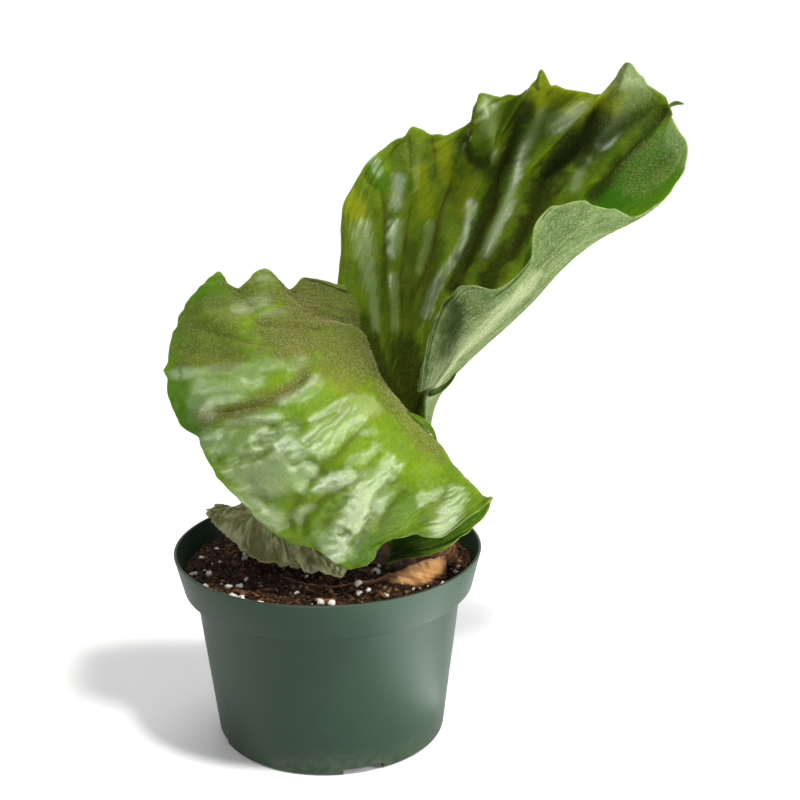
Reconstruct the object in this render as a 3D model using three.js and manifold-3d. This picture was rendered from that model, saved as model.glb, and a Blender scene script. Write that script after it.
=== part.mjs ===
// A potted elephant-ear staghorn fern: two broad undivided fronds and two old shield fronds
// on a short rhizome, in potting mix, in a round plastic nursery pot.
// Millimetres, +Z up. The origin is the centre of the pot's base; -Y is the front.
import * as THREE from 'three';
import { mergeVertices } from 'three/addons/utils/BufferGeometryUtils.js';
import Module from 'manifold-3d';

const wasm = await Module();
wasm.setup();

// ---- driving dimensions ----
const GAP = 0.3;                 // clearance between pieces that touch
const POT_SIDES = 64;
const RIM_RADIUS = 76.2;         // a 6 inch pot is 152.4 mm across its rim
const POT_HEIGHT = 96;
const BASE_RADIUS = 57;
const BASE_CHAMFER = 1.5;
const SHOULDER_RADIUS = 66.2;    // the body just under the collar band
const BAND_BOTTOM_Z = 77;
const BAND_RADIUS = 71.6;        // the collar band at its lower edge
const WALL = 1.4;
const FLOOR = 2;
const LIP = 0.7;                 // rounding of the rim's top edge
const PORTS = 4;
const PORT_WIDTH = 20;
const PORT_HEIGHT = 3.2;
const PORT_DEPTH = 11;
const FIRST_PORT_ANGLE = -74;    // degrees from +X; just right of the front
const LEDGE_Z = BAND_BOTTOM_Z + WALL;
const BAND_SLOPE = (RIM_RADIUS - BAND_RADIUS) / (POT_HEIGHT - BAND_BOTTOM_Z);

const SOIL_RINGS = 7;
const SOIL_SIDES = 40;
const SOIL_EDGE_Z = 85.5;
const SOIL_MOUND = 5;            // how far the middle stands above the edge
const SOIL_BUMP = 0.7;           // the tumbled surface, in two waves
const SOIL_CRUMB = 0.5;
const SOIL_CLEAR = 2 * GAP;      // between the mix's flat-sided wall and the round pot
const GRANULES = 34;
const CHIPS = 9;
const GRAIN_SIZE = [1.3, 2.4];   // smallest and largest radius
const GRAIN_REACH = 66;          // how far out from the axis the grains lie
const SEED = 7;

const RHIZOME = { centre: [39, 3, 88], radii: [26, 20, 15], bottom: 78 };
const RHIZOME_SIDES = 24;
const RHIZOME_RINGS = 9;
const SCALE_RELIEF = 1.1;        // the rhizome's overlapping papery scales

// Every frond is lofted through these curves, from its foot to its margin. Each curve runs
// across the blade. Third points of a margin lie opposite the points of the curve before it.
const FRONT_FROND = {
  name: 'front_frond',
  foot: [[29, -9, 99], [34, 0, 99], [25, 7, 99]],
  curves: [
    [[31, -13, 104], [50, -3, 113], [54, 1, 126], [46, -2, 136], [38, 1, 144], [32, 4, 147],
      [28, 7, 147], [24, 10, 145], [21, 12, 142]],
    [[31, -20, 105], [64, -14, 123], [58, -12, 145], [43, -14, 162], [30, -8, 175], [22, -2, 186],
      [19, 4, 195], [19, 9, 199], [17, 16, 186]],
    [[30, -27, 101], [73, -23, 127], [54, -36, 136], [28, -46, 142], [-1, -48, 160],
      [-17, -42, 180], [-26, -22, 201], [-12, -3, 211], [17, 16, 210]],
    [[28, -33, 98], [54, -34, 105], [74, -26, 118], [79, -29, 129], [71, -36, 124],
      [55, -39, 114], [40, -43, 116], [28, -46, 112], [21, -50, 106], [9, -54, 105],
      [-6, -52, 115], [-21, -50, 119], [-43, -44, 139], [-53, -40, 154], [-57, -38, 163],
      [-66, -34, 171], [-72, -28, 187], [-70, -8, 206], [-63, 5, 219], [-51, 14, 230],
      [-41, 9, 225], [-28, 18, 230], [-17, 13, 224], [-7, 17, 227], [11, 15, 223]],
  ],
  rows: 20,
  columns: 49,
  pleats: 9,
  pleatDepth: 1.2,
  pleatStart: 0.45,
  thickness: 1.0,
  footThickness: 2.0,
};

const BACK_FROND = {
  name: 'back_frond',
  foot: [[37, 8, 99], [43, 17, 99], [51, 15, 99], [53, 7, 99]],
  curves: [
    [[29, 15, 151], [36, 26, 154], [46, 24, 159], [54, 10, 165], [48, -4, 165]],
    [[15, 22, 192], [26, 34, 212], [38, 44, 228], [52, 52, 237], [67, 56, 246], [85, 56, 253],
      [105, 48, 257], [122, 24, 243], [106, 0, 224], [87, -16, 216], [66, -22, 202],
      [51, -10, 178]],
    [[6, 24, 215], [9, 28, 236], [10, 30, 259], [16, 33, 270], [25, 34, 283], [34, 38, 289],
      [46, 34, 296], [55, 43, 293], [63, 47, 293], [74, 49, 298], [79, 42, 310], [91, 48, 311],
      [101, 52, 312], [107, 40, 321], [115, 49, 316], [129, 56, 312], [144, 52, 312],
      [147, 26, 326], [159, 30, 315], [169, 34, 308], [169, 16, 298], [173, 4, 284],
      [159, -6, 266], [146, -12, 259], [130, -24, 265], [115, -30, 268], [103, -34, 266],
      [95, -38, 257], [94, -36, 243], [80, -34, 230], [66, -34, 232], [54, -28, 220],
      [48, -20, 199], [45, -10, 176]],
  ],
  rows: 18,
  columns: 67,
  pleats: 11,
  pleatDepth: 0.8,
  pleatStart: 0.2,
  thickness: 1.0,
  footThickness: 3.0,
};

const GREY_SHIELD = {
  name: 'grey_shield',
  foot: [[12, -20, 92], [4, -4, 91], [10, 14, 91]],
  curves: [
    [[11, -30, 97], [-6, -24, 103], [-16, -8, 106], [-12, 10, 104], [0, 20, 100]],
    [[7, -42, 95], [-8, -41, 99], [-22, -38, 101], [-36, -30, 103], [-45, -20, 106],
      [-56, -6, 111], [-60, 4, 114], [-53, 10, 115], [-48, 16, 111], [-40, 20, 113],
      [-28, 24, 106]],
  ],
  rows: 8,
  columns: 31,
  pleats: 7,
  pleatDepth: 0.8,
  pleatStart: 0.2,
  thickness: 1.0,
  footThickness: 1.6,
};

const DRY_SHIELD = {
  name: 'dry_shield',
  foot: [[-28, -8, 80], [-21, -23, 80], [-8, -33, 80], [10, -34, 80], [24, -29, 80],
    [35, -29, 80], [46, -27, 80], [55, -19, 80]],
  curves: [
    [[-29, -8, 86], [-22, -25, 86], [-9, -36, 86], [10, -36, 86], [24, -31, 86], [35, -32, 86],
      [47, -31, 86], [57, -23, 86]],
    [[-30, -8, 91], [-23, -26, 91.5], [-10, -38, 91], [10, -38, 90.5], [24, -33, 91.5],
      [35, -36, 95], [47, -36, 97], [57, -28, 98]],
  ],
  rows: 6,
  columns: 29,
  pleats: 5,
  pleatDepth: 0.4,
  pleatStart: 0.4,
  thickness: 1.0,
  footThickness: 1.4,
};

const MATERIALS = {
  pot: { color: 0x4f6a57, roughness: 0.45, metalness: 0 },
  potting_mix: { color: 0x3b2a20, roughness: 0.95, metalness: 0 },
  rhizome: { color: 0x6b4a2c, roughness: 0.9, metalness: 0 },
  front_frond: { color: 0x7da845, roughness: 0.45, metalness: 0 },
  back_frond: { color: 0x4f7426, roughness: 0.4, metalness: 0 },
  grey_shield: { color: 0x7c7d5e, roughness: 0.85, metalness: 0 },
  dry_shield: { color: 0xb07a48, roughness: 0.85, metalness: 0 },
};

// ---- helpers ----
function randomFrom(seed) {
  let state = seed;
  return () => {
    state = (state * 1664525 + 1013904223) % 4294967296;
    return state / 4294967296;
  };
}

function solidFrom(positions, indices) {
  const mesh = new wasm.Mesh({
    numProp: 3,
    vertProperties: new Float32Array(positions),
    triVerts: new Uint32Array(indices),
  });
  return new wasm.Manifold(mesh);
}

function solidFromGeometry(source) {
  const geometry = source.clone();
  geometry.deleteAttribute('normal');
  geometry.deleteAttribute('uv');
  const merged = mergeVertices(geometry, 1e-4);
  return solidFrom(merged.attributes.position.array, merged.index.array);
}

function largestPiece(solid) {
  const pieces = solid.decompose();
  return pieces.reduce((best, piece) => (piece.volume() > best.volume() ? piece : best));
}

function meshFrom(solid, name) {
  const result = solid.getMesh();
  const geometry = new THREE.BufferGeometry();
  geometry.setAttribute('position', new THREE.BufferAttribute(result.vertProperties, 3));
  geometry.setIndex(new THREE.BufferAttribute(result.triVerts, 1));
  geometry.computeVertexNormals();
  const mesh = new THREE.Mesh(geometry, new THREE.MeshStandardMaterial(MATERIALS[name]));
  mesh.name = name;
  return mesh;
}

function splineThrough(points) {
  return new THREE.CatmullRomCurve3(points, false, 'catmullrom', 0.5);
}

// ---- thin curved blades ----
// The middle surface of a frond: rows from foot to margin, columns across.
function bladeSurface(frond) {
  const { rows, columns, pleats, pleatDepth, pleatStart } = frond;
  const across = [frond.foot, ...frond.curves]
    .map((points) => splineThrough(points.map((point) => new THREE.Vector3(...point))));
  const surface = Array.from({ length: rows }, () => []);
  for (let column = 0; column < columns; column += 1) {
    const rib = splineThrough(across.map((curve) => curve.getPoint(column / (columns - 1))));
    for (let row = 0; row < rows; row += 1) {
      surface[row].push(rib.getPoint(row / (rows - 1)));
    }
  }
  const normals = surfaceNormals(surface);
  return surface.map((line, row) => line.map((point, column) => {
    const rise = THREE.MathUtils.smoothstep(row / (rows - 1), pleatStart, 1);
    const wave = Math.sin(2 * Math.PI * pleats * column / (columns - 1));
    return point.clone().addScaledVector(normals[row][column], pleatDepth * rise * wave);
  }));
}

function surfaceNormals(surface) {
  const rows = surface.length;
  const columns = surface[0].length;
  return surface.map((line, row) => line.map((point, column) => {
    const up = surface[Math.min(row + 1, rows - 1)][column].clone()
      .sub(surface[Math.max(row - 1, 0)][column]);
    const over = line[Math.min(column + 1, columns - 1)].clone()
      .sub(line[Math.max(column - 1, 0)]);
    return up.cross(over).normalize();
  }));
}

// Moves the outer rows and columns out along the blade, for a cutter that clears its edges.
function widened(surface, grow) {
  const wide = surface.map((line) => line.map((point) => point.clone()));
  const push = (edge, inner) => {
    edge.addScaledVector(edge.clone().sub(inner).normalize(), grow);
  };
  const last = surface.length - 1;
  wide.forEach((line) => {
    push(line[0], line[1]);
    push(line[line.length - 1], line[line.length - 2]);
  });
  wide[0].forEach((point, column) => push(point, wide[1][column]));
  wide[last].forEach((point, column) => push(point, wide[last - 1][column]));
  return wide;
}

// A closed solid round the middle surface. Both faces share one pattern of triangles.
function bladeSolid(frond, grow = 0) {
  const middle = bladeSurface(frond);
  const surface = grow > 0 ? widened(middle, grow) : middle;
  const normals = surfaceNormals(surface);
  const { rows, columns, thickness, footThickness } = frond;
  const positions = [];
  for (const side of [1, -1]) {
    surface.forEach((line, row) => {
      const along = row / (rows - 1);
      const thick = thickness + (footThickness - thickness) * (1 - along) ** 3;
      line.forEach((point, column) => {
        const offset = side * (thick / 2 + grow);
        positions.push(...point.clone().addScaledVector(normals[row][column], offset).toArray());
      });
    });
  }
  const count = rows * columns;
  const indices = [];
  for (let row = 0; row < rows - 1; row += 1) {
    for (let column = 0; column < columns - 1; column += 1) {
      const a = row * columns + column;
      const b = a + columns;
      indices.push(a, b, b + 1, a, b + 1, a + 1);
      indices.push(a + count, b + 1 + count, b + count, a + count, a + 1 + count, b + 1 + count);
    }
  }
  const border = [];
  for (let column = 0; column < columns - 1; column += 1) border.push(column);
  for (let row = 0; row < rows - 1; row += 1) border.push(row * columns + columns - 1);
  for (let column = columns - 1; column > 0; column -= 1) border.push((rows - 1) * columns + column);
  for (let row = rows - 1; row > 0; row -= 1) border.push(row * columns);
  border.forEach((a, place) => {
    const b = border[(place + 1) % border.length];
    indices.push(a, b, b + count, a, b + count, a + count);
  });
  return solidFrom(positions, indices);
}

// ---- pot ----
function potProfile() {
  const outer = [
    [0, 0], [BASE_RADIUS - BASE_CHAMFER, 0], [BASE_RADIUS, BASE_CHAMFER],
    [SHOULDER_RADIUS, BAND_BOTTOM_Z], [BAND_RADIUS - LIP, BAND_BOTTOM_Z],
    [BAND_RADIUS, BAND_BOTTOM_Z + LIP], [RIM_RADIUS, POT_HEIGHT - LIP],
    [RIM_RADIUS - LIP, POT_HEIGHT],
  ];
  const inner = [
    [RIM_RADIUS - WALL, POT_HEIGHT - LIP],
    [BAND_RADIUS - WALL + BAND_SLOPE * WALL, LEDGE_Z],
    [SHOULDER_RADIUS - WALL, LEDGE_Z],
    [BASE_RADIUS - WALL, FLOOR], [0, FLOOR],
  ];
  return [...outer, ...inner].map(([radius, z]) => new THREE.Vector2(radius, z));
}

function makePot() {
  const lathe = new THREE.LatheGeometry(potProfile(), POT_SIDES);
  lathe.rotateX(Math.PI / 2);
  let pot = solidFromGeometry(lathe);
  for (let port = 0; port < PORTS; port += 1) {
    const angle = THREE.MathUtils.degToRad(FIRST_PORT_ANGLE + port * 360 / PORTS);
    const cutter = new THREE.BoxGeometry(PORT_DEPTH, PORT_WIDTH, 2 * PORT_HEIGHT);
    cutter.translate(BASE_RADIUS - 1, 0, 0);
    cutter.rotateZ(angle);
    pot = pot.subtract(solidFromGeometry(cutter));
  }
  return pot;
}

// ---- potting mix ----
function soilHeight(x, y) {
  const reach = Math.hypot(x, y) / BAND_RADIUS;
  const mound = SOIL_MOUND * Math.max(0, 1 - reach * reach);
  const bump = SOIL_BUMP * Math.sin(0.31 * x + 1.3) * Math.cos(0.27 * y);
  const crumb = SOIL_CRUMB * Math.sin(0.53 * y + 0.41 * x);
  return SOIL_EDGE_Z + mound + bump + crumb;
}

function soilBody() {
  const lowestEdge = SOIL_EDGE_Z - SOIL_BUMP - SOIL_CRUMB;
  const inset = WALL + SOIL_CLEAR;
  const topRadius = BAND_RADIUS - inset + BAND_SLOPE * (lowestEdge - BAND_BOTTOM_Z);
  const rings = [
    [0, FLOOR + GAP], [BASE_RADIUS - inset, FLOOR + GAP],
    [SHOULDER_RADIUS - inset, LEDGE_Z + GAP], [BAND_RADIUS - inset, LEDGE_Z + GAP],
  ];
  const positions = [];
  const rows = [];
  const addRing = (radius, heightAt) => {
    const start = positions.length / 3;
    const sides = radius === 0 ? 1 : SOIL_SIDES;
    for (let side = 0; side < sides; side += 1) {
      const angle = 2 * Math.PI * side / SOIL_SIDES;
      const x = radius * Math.cos(angle);
      const y = radius * Math.sin(angle);
      positions.push(x, y, heightAt(x, y));
    }
    rows.push({ start, sides });
  };
  rings.forEach(([radius, z]) => addRing(radius, () => z));
  for (let ring = SOIL_RINGS; ring >= 0; ring -= 1) {
    addRing(topRadius * ring / SOIL_RINGS, soilHeight);
  }
  const indices = [];
  for (let level = 0; level < rows.length - 1; level += 1) {
    const low = rows[level];
    const high = rows[level + 1];
    for (let side = 0; side < SOIL_SIDES; side += 1) {
      const next = (side + 1) % SOIL_SIDES;
      const a = low.start + (low.sides > 1 ? side : 0);
      const b = low.start + (low.sides > 1 ? next : 0);
      const c = high.start + (high.sides > 1 ? next : 0);
      const d = high.start + (high.sides > 1 ? side : 0);
      if (a !== b) indices.push(a, b, c);
      if (c !== d) indices.push(a, c, d);
    }
  }
  return solidFrom(positions, indices);
}

// A perlite granule: a small pale stone with few sides, pressed into the mix.
function granule(x, y, size, turn) {
  const stone = new THREE.IcosahedronGeometry(size, 0);
  stone.scale(1, 0.8, 0.8);
  stone.rotateZ(6 * turn);
  stone.translate(x, y, soilHeight(x, y) + 0.15 * size);
  return solidFromGeometry(stone);
}

// A bark chip: a flat splinter that lies half in the mix, a little tipped.
function chip(x, y, size, turn) {
  const splinter = new THREE.BoxGeometry(2 * size, 1.1 * size, 0.7 * size);
  splinter.rotateX(0.4 * turn);
  splinter.rotateZ(6 * turn);
  splinter.translate(x, y, soilHeight(x, y));
  return solidFromGeometry(splinter);
}

function makePottingMix(cutters) {
  const random = randomFrom(SEED);
  const grains = [];
  for (let count = 0; count < GRANULES + CHIPS; count += 1) {
    const angle = 2 * Math.PI * random();
    const radius = GRAIN_REACH * Math.sqrt(0.2 + 0.8 * random());
    const size = THREE.MathUtils.lerp(...GRAIN_SIZE, random());
    const make = count < GRANULES ? granule : chip;
    grains.push(make(radius * Math.cos(angle), radius * Math.sin(angle), size, random()));
  }
  let soil = wasm.Manifold.union([soilBody(), ...grains]);
  cutters.forEach((cutter) => {
    soil = soil.subtract(cutter);
  });
  return largestPiece(soil);
}

// ---- rhizome ----
function rhizomeSolid(grow = 0) {
  const { centre, radii, bottom } = RHIZOME;
  const lump = new THREE.SphereGeometry(1, RHIZOME_SIDES, RHIZOME_RINGS);
  lump.rotateX(Math.PI / 2);
  const place = lump.attributes.position;
  for (let index = 0; index < place.count; index += 1) {
    const unit = new THREE.Vector3().fromBufferAttribute(place, index);
    const turn = Math.atan2(unit.y, unit.x);
    const relief = SCALE_RELIEF * Math.sin(6 * turn + 9 * unit.z) * (1 - unit.z ** 4);
    const reach = radii.map((radius) => radius + relief + grow);
    place.setXYZ(index, centre[0] + reach[0] * unit.x, centre[1] + reach[1] * unit.y,
      Math.max(bottom - grow, centre[2] + reach[2] * unit.z));
  }
  return solidFromGeometry(lump);
}

// ---- assembly ----
const staghornFern = new THREE.Group();
const blades = [FRONT_FROND, BACK_FROND, GREY_SHIELD, DRY_SHIELD];
const sockets = blades.map((blade) => bladeSolid(blade, GAP));
let rhizome = rhizomeSolid();
sockets.forEach((socket) => {
  rhizome = rhizome.subtract(socket);
});

staghornFern.add(meshFrom(makePot(), 'pot'));
staghornFern.add(meshFrom(makePottingMix([rhizomeSolid(GAP), ...sockets]), 'potting_mix'));
staghornFern.add(meshFrom(largestPiece(rhizome), 'rhizome'));
blades.forEach((blade) => {
  staghornFern.add(meshFrom(bladeSolid(blade), blade.name));
});

export default staghornFern;
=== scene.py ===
# %% [markdown]
# # A potted elephant-ear staghorn fern
# The plant is young: two broad wavy fronds and two old shield fronds on a short rhizome,
# in a plastic nursery pot full of peat, bark and perlite. The frame loaded here holds the
# plain solids at their real size. Each step below replaces one of them with a finer piece
# in the same place, and gives it a finish made only from nodes.

# %% Load the frame
import math
import bpy
import bmesh
import numpy as np
from mathutils import Matrix, Vector


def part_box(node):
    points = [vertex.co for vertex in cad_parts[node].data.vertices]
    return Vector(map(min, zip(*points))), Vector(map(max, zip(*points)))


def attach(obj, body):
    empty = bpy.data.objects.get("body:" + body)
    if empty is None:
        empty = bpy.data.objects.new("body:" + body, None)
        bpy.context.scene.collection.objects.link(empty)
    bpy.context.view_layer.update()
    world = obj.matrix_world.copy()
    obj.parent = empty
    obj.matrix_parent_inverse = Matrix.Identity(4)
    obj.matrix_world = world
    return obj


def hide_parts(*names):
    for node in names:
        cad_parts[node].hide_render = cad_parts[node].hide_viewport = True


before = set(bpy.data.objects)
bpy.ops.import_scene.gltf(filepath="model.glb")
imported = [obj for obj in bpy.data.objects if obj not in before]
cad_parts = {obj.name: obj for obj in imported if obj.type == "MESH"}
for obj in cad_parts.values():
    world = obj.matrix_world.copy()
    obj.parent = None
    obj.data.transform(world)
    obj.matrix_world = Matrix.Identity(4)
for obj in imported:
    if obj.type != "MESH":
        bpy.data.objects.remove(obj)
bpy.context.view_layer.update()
MM = 0.001
scene = bpy.context.scene
print("solids in the frame:", sorted(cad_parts))

# %% [markdown]
# ## The camera
# It stands 650 mm in front of the pot and 350 mm up, and looks down a little, so that the
# soil shows behind the rim. A lens of about 63 mm keeps the pot's sides from splaying. The
# half degree of roll is the photograph's own.

# %% Place the camera
EYE = Vector((0.016, -0.650, 0.350))
TURN_RIGHT, LOOK_DOWN, ROLL = math.radians(1.8), math.radians(15.5), math.radians(-0.55)
FOCAL_PIXELS, IMAGE_PIXELS, SENSOR_MM = 1393, 800, 36

ahead = Vector((math.sin(TURN_RIGHT) * math.cos(LOOK_DOWN),
                math.cos(TURN_RIGHT) * math.cos(LOOK_DOWN), -math.sin(LOOK_DOWN)))
level_right = ahead.cross(Vector((0, 0, 1))).normalized()
level_up = level_right.cross(ahead)
right = math.cos(ROLL) * level_right + math.sin(ROLL) * level_up
up = math.cos(ROLL) * level_up - math.sin(ROLL) * level_right
lens = bpy.data.cameras.new("camera")
lens.sensor_width = SENSOR_MM
lens.lens = FOCAL_PIXELS / IMAGE_PIXELS * SENSOR_MM
camera = bpy.data.objects.new("camera", lens)
turned = Matrix((right, up, -ahead)).transposed().to_4x4()
camera.matrix_world = Matrix.Translation(EYE) @ turned
scene.collection.objects.link(camera)
scene.camera = camera
print("lens, mm:", round(lens.lens, 1))


def seen_at(points):
    """The pixels at which this camera sees some points (in mm), and how far off they are."""
    away = points - np.array(EYE) / MM
    depth = away @ np.array(ahead)
    x = IMAGE_PIXELS / 2 + FOCAL_PIXELS * (away @ np.array(right)) / depth
    y = IMAGE_PIXELS / 2 - FOCAL_PIXELS * (away @ np.array(up)) / depth
    return x, y, depth


# %% [markdown]
# ## Shader maths as plain expressions
# A material is a little program of nodes. Writing it node by node hides the idea, so a
# `Wire` stands for one output socket and knows arithmetic: `1 - mask` or `grain * 0.3`
# adds the Math node by itself. A `Finish` is one material, and its `node` method adds any
# other kind of node.

# %% Wire
class Wire:
    def __init__(self, finish, socket):
        self.finish, self.socket = finish, socket

    def math(self, operation, *values, clamp=False):
        settings = {"operation": operation, "use_clamp": clamp}
        return self.finish.node("Math", settings, dict(enumerate(values)))

    def __add__(self, other):
        return self.math("ADD", self, other)

    def __radd__(self, other):
        return self.math("ADD", other, self)

    def __sub__(self, other):
        return self.math("SUBTRACT", self, other)

    def __rsub__(self, other):
        return self.math("SUBTRACT", other, self)

    def __mul__(self, other):
        return self.math("MULTIPLY", self, other)

    def __rmul__(self, other):
        return self.math("MULTIPLY", other, self)

    def __pow__(self, other):
        return self.math("POWER", self, other)

    def clamped(self):
        return self.math("ADD", self, 0.0, clamp=True)


# %% Finish
MIX_FIRST, MIX_SECOND, MIX_RESULT = 6, 7, 2      # the colour sockets of a Mix node


class Finish:
    def __init__(self, name):
        self.material = bpy.data.materials.new(name)
        self.material.use_nodes = True
        self.tree = self.material.node_tree
        self.shader = self.tree.nodes["Principled BSDF"]

    def node(self, kind, settings=None, sockets=None, out=0):
        node = self.tree.nodes.new("ShaderNode" + kind)
        for key, value in (settings or {}).items():
            setattr(node, key, value)
        self.feed(node, sockets or {})
        return Wire(self, node.outputs[out])

    def feed(self, node, sockets):
        for key, value in sockets.items():
            if isinstance(value, Wire):
                self.tree.links.new(value.socket, node.inputs[key])
            else:
                node.inputs[key].default_value = value

    def place(self):
        return self.node("TexCoord", out="Object")

    def field(self, name):
        return self.node("Attribute", {"attribute_name": name}, out="Fac")

    def stretched(self, scale):
        return self.node("VectorMath", {"operation": "MULTIPLY"}, {0: self.place(), 1: scale})

    def noise(self, size_mm, detail=2.0, rough=0.5, where=None):
        sockets = {"Vector": where or self.place(), "Scale": 1 / (size_mm * MM),
                   "Detail": detail, "Roughness": rough}
        return self.node("TexNoise", None, sockets)

    def step(self, value, low, high):
        settings = {"interpolation_type": "SMOOTHSTEP"}
        return self.node("MapRange", settings, {"Value": value, "From Min": low, "From Max": high})

    def blend(self, amount, first, second):
        sockets = {0: amount, MIX_FIRST: paint(first), MIX_SECOND: paint(second)}
        return self.node("Mix", {"data_type": "RGBA"}, sockets, out=MIX_RESULT)

    def layers(self, colour, coats):
        """Lays coats over a colour, one after the other. Each is an amount and a colour."""
        for amount, coat in coats:
            colour = self.blend(amount, colour, coat)
        return colour

    def bump(self, height, depth_mm, strength=1.0):
        return self.node("Bump", None, {"Height": height, "Distance": depth_mm * MM,
                                        "Strength": strength})

    def finish(self, **sockets):
        self.feed(self.shader, {key.replace("_", " "): value for key, value in sockets.items()})
        return self.material


def paint(colour):
    """A colour written as on screen, 0 to 255, in the linear values that shaders use."""
    if isinstance(colour, Wire):
        return colour
    levels = [value / 255 for value in colour]
    linear = [v / 12.92 if v <= 0.04045 else ((v + 0.055) / 1.055) ** 2.4 for v in levels]
    return (*linear, 1.0)


# %% [markdown]
# ## Making meshes from arrays
# The leaves are surfaces with a formula, so their points come from numpy arrays, all at
# once. Fields such as "where the veins are" are stored on the points, and the materials
# read them back by name. Every piece rides on the part's one body.

# %% Mesh helpers
def new_object(name, points, faces, material, fields=None, smooth=True):
    """A mesh object, points in metres. fields: numbers to store on the points, by name."""
    mesh = bpy.data.meshes.new(name)
    mesh.from_pydata(np.asarray(points).tolist(), [], [tuple(map(int, face)) for face in faces])
    for field, values in (fields or {}).items():
        layer = mesh.attributes.new(field, "FLOAT", "POINT")
        layer.data.foreach_set("value", np.asarray(values, dtype=np.float32).ravel())
    if smooth:
        mesh.shade_smooth()
    mesh.materials.append(material)
    thing = bpy.data.objects.new(name, mesh)
    scene.collection.objects.link(thing)
    print(f"{name}: {len(mesh.vertices)} points, {len(mesh.polygons)} faces")
    return thing


def add_piece(name, points, faces, material, stands_for=None, fields=None,
              smooth=True):
    """One piece of the plant or its pot, points in millimetres."""
    piece = new_object(name, points * MM, faces, material, fields, smooth)
    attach(piece, "root")
    if stands_for:
        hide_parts(stands_for)
    return piece


def ring_faces(sides, rings):
    """Faces of stacked rings of points, closed by two end points that come after them."""
    faces, top = [], (rings - 1) * sides
    for side in range(sides):
        after = (side + 1) % sides
        for base in range(0, top, sides):
            over = base + sides
            faces.append((base + side, base + after, over + after, over + side))
        faces.append((rings * sides, after, side))
        faces.append((rings * sides + 1, top + side, top + after))
    return faces


# %% Random hills and soft steps
HILL_TABLE = 64        # heights along each side of the table that repeats


def hills(x, y, seed):
    """Smooth random hills, about one in each unit square, from -1 to 1."""
    table = np.random.RandomState(seed).uniform(-1, 1, (HILL_TABLE, HILL_TABLE))
    column, row = np.floor(x).astype(int), np.floor(y).astype(int)
    across, along = x - column, y - row
    across, along = across ** 2 * (3 - 2 * across), along ** 2 * (3 - 2 * along)
    left, right_of = column % HILL_TABLE, (column + 1) % HILL_TABLE
    low, high = row % HILL_TABLE, (row + 1) % HILL_TABLE
    near = table[left, low] * (1 - across) + table[right_of, low] * across
    far = table[left, high] * (1 - across) + table[right_of, high] * across
    return near * (1 - along) + far * along


def ease(low, high, value):
    """A soft step: 0 below low, 1 above high."""
    part = np.clip((value - low) / (high - low), 0, 1)
    return part * part * (3 - 2 * part)


# %% [markdown]
# ## The pot
# A thin-walled nursery pot is moulded in one shot: a tapered body, a collar band that the
# pots stack on, and a small rounded lip. Spinning one profile round the axis makes it. The
# corners are rounded in the profile itself, because a moulded edge is never sharp and its
# highlight is what tells the eye that this is plastic.

# %% The pot's profile
RIM_RADIUS, POT_HEIGHT, BASE_RADIUS = 76.2, 96.0, 57.0
SHOULDER_RADIUS, BAND_BOTTOM_Z, BAND_RADIUS = 66.2, 77.0, 71.6
WALL, FLOOR = 1.4, 2.0
BAND_SLOPE = (RIM_RADIUS - BAND_RADIUS) / (POT_HEIGHT - BAND_BOTTOM_Z)
POT_CORNERS = [
    (0.0, 0.0, 0.0), (BASE_RADIUS, 0.0, 1.8), (BASE_RADIUS + 0.72, 6.0, 0.0),
    (SHOULDER_RADIUS, BAND_BOTTOM_Z, 0.8),
    (BAND_RADIUS, BAND_BOTTOM_Z, 1.3), (RIM_RADIUS, POT_HEIGHT, 0.6),
    (RIM_RADIUS - WALL, POT_HEIGHT, 0.6),
    (BAND_RADIUS - WALL + BAND_SLOPE * WALL, BAND_BOTTOM_Z + WALL, 0.8),
    (SHOULDER_RADIUS - WALL, BAND_BOTTOM_Z + WALL, 0.5), (BASE_RADIUS - WALL, FLOOR, 1.0),
    (0.0, FLOOR, 0.0),
]


def rounded_outline(corners, steps=5):
    """Replaces each corner by a short arc; the third number is how far the arc reaches."""
    outline = []
    for place, (x, y, reach) in enumerate(corners):
        corner = np.array((x, y))
        if reach == 0:
            outline.append(corner)
            continue
        before = np.array(corners[place - 1][:2]) - corner
        after = np.array(corners[place + 1][:2]) - corner
        start = corner + before / np.linalg.norm(before) * reach
        end = corner + after / np.linalg.norm(after) * reach
        for part in np.linspace(0, 1, steps):
            outline.append((1 - part) ** 2 * start + 2 * part * (1 - part) * corner
                           + part ** 2 * end)
    return np.array(outline)


def spun(outline, sides):
    """Points and faces of an outline spun round the axis; its ends lie on the axis."""
    inner = outline[1:-1]
    turns = np.linspace(0, 2 * np.pi, sides, endpoint=False)
    rings = np.stack([inner[:, :1] * np.cos(turns), inner[:, :1] * np.sin(turns),
                      np.repeat(inner[:, 1:], sides, 1)], -1)
    ends = [(0, 0, outline[0][1]), (0, 0, outline[-1][1])]
    return np.concatenate([rings.reshape(-1, 3), ends]), ring_faces(sides, len(inner))


# %% [markdown]
# The plastic is a dark bottle green with a satin skin. One flat colour would look like a
# computer's idea of plastic, so noise adds faint clouding, a few scuffs and dust near the
# foot, and each of them also changes how rough the skin is.

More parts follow.
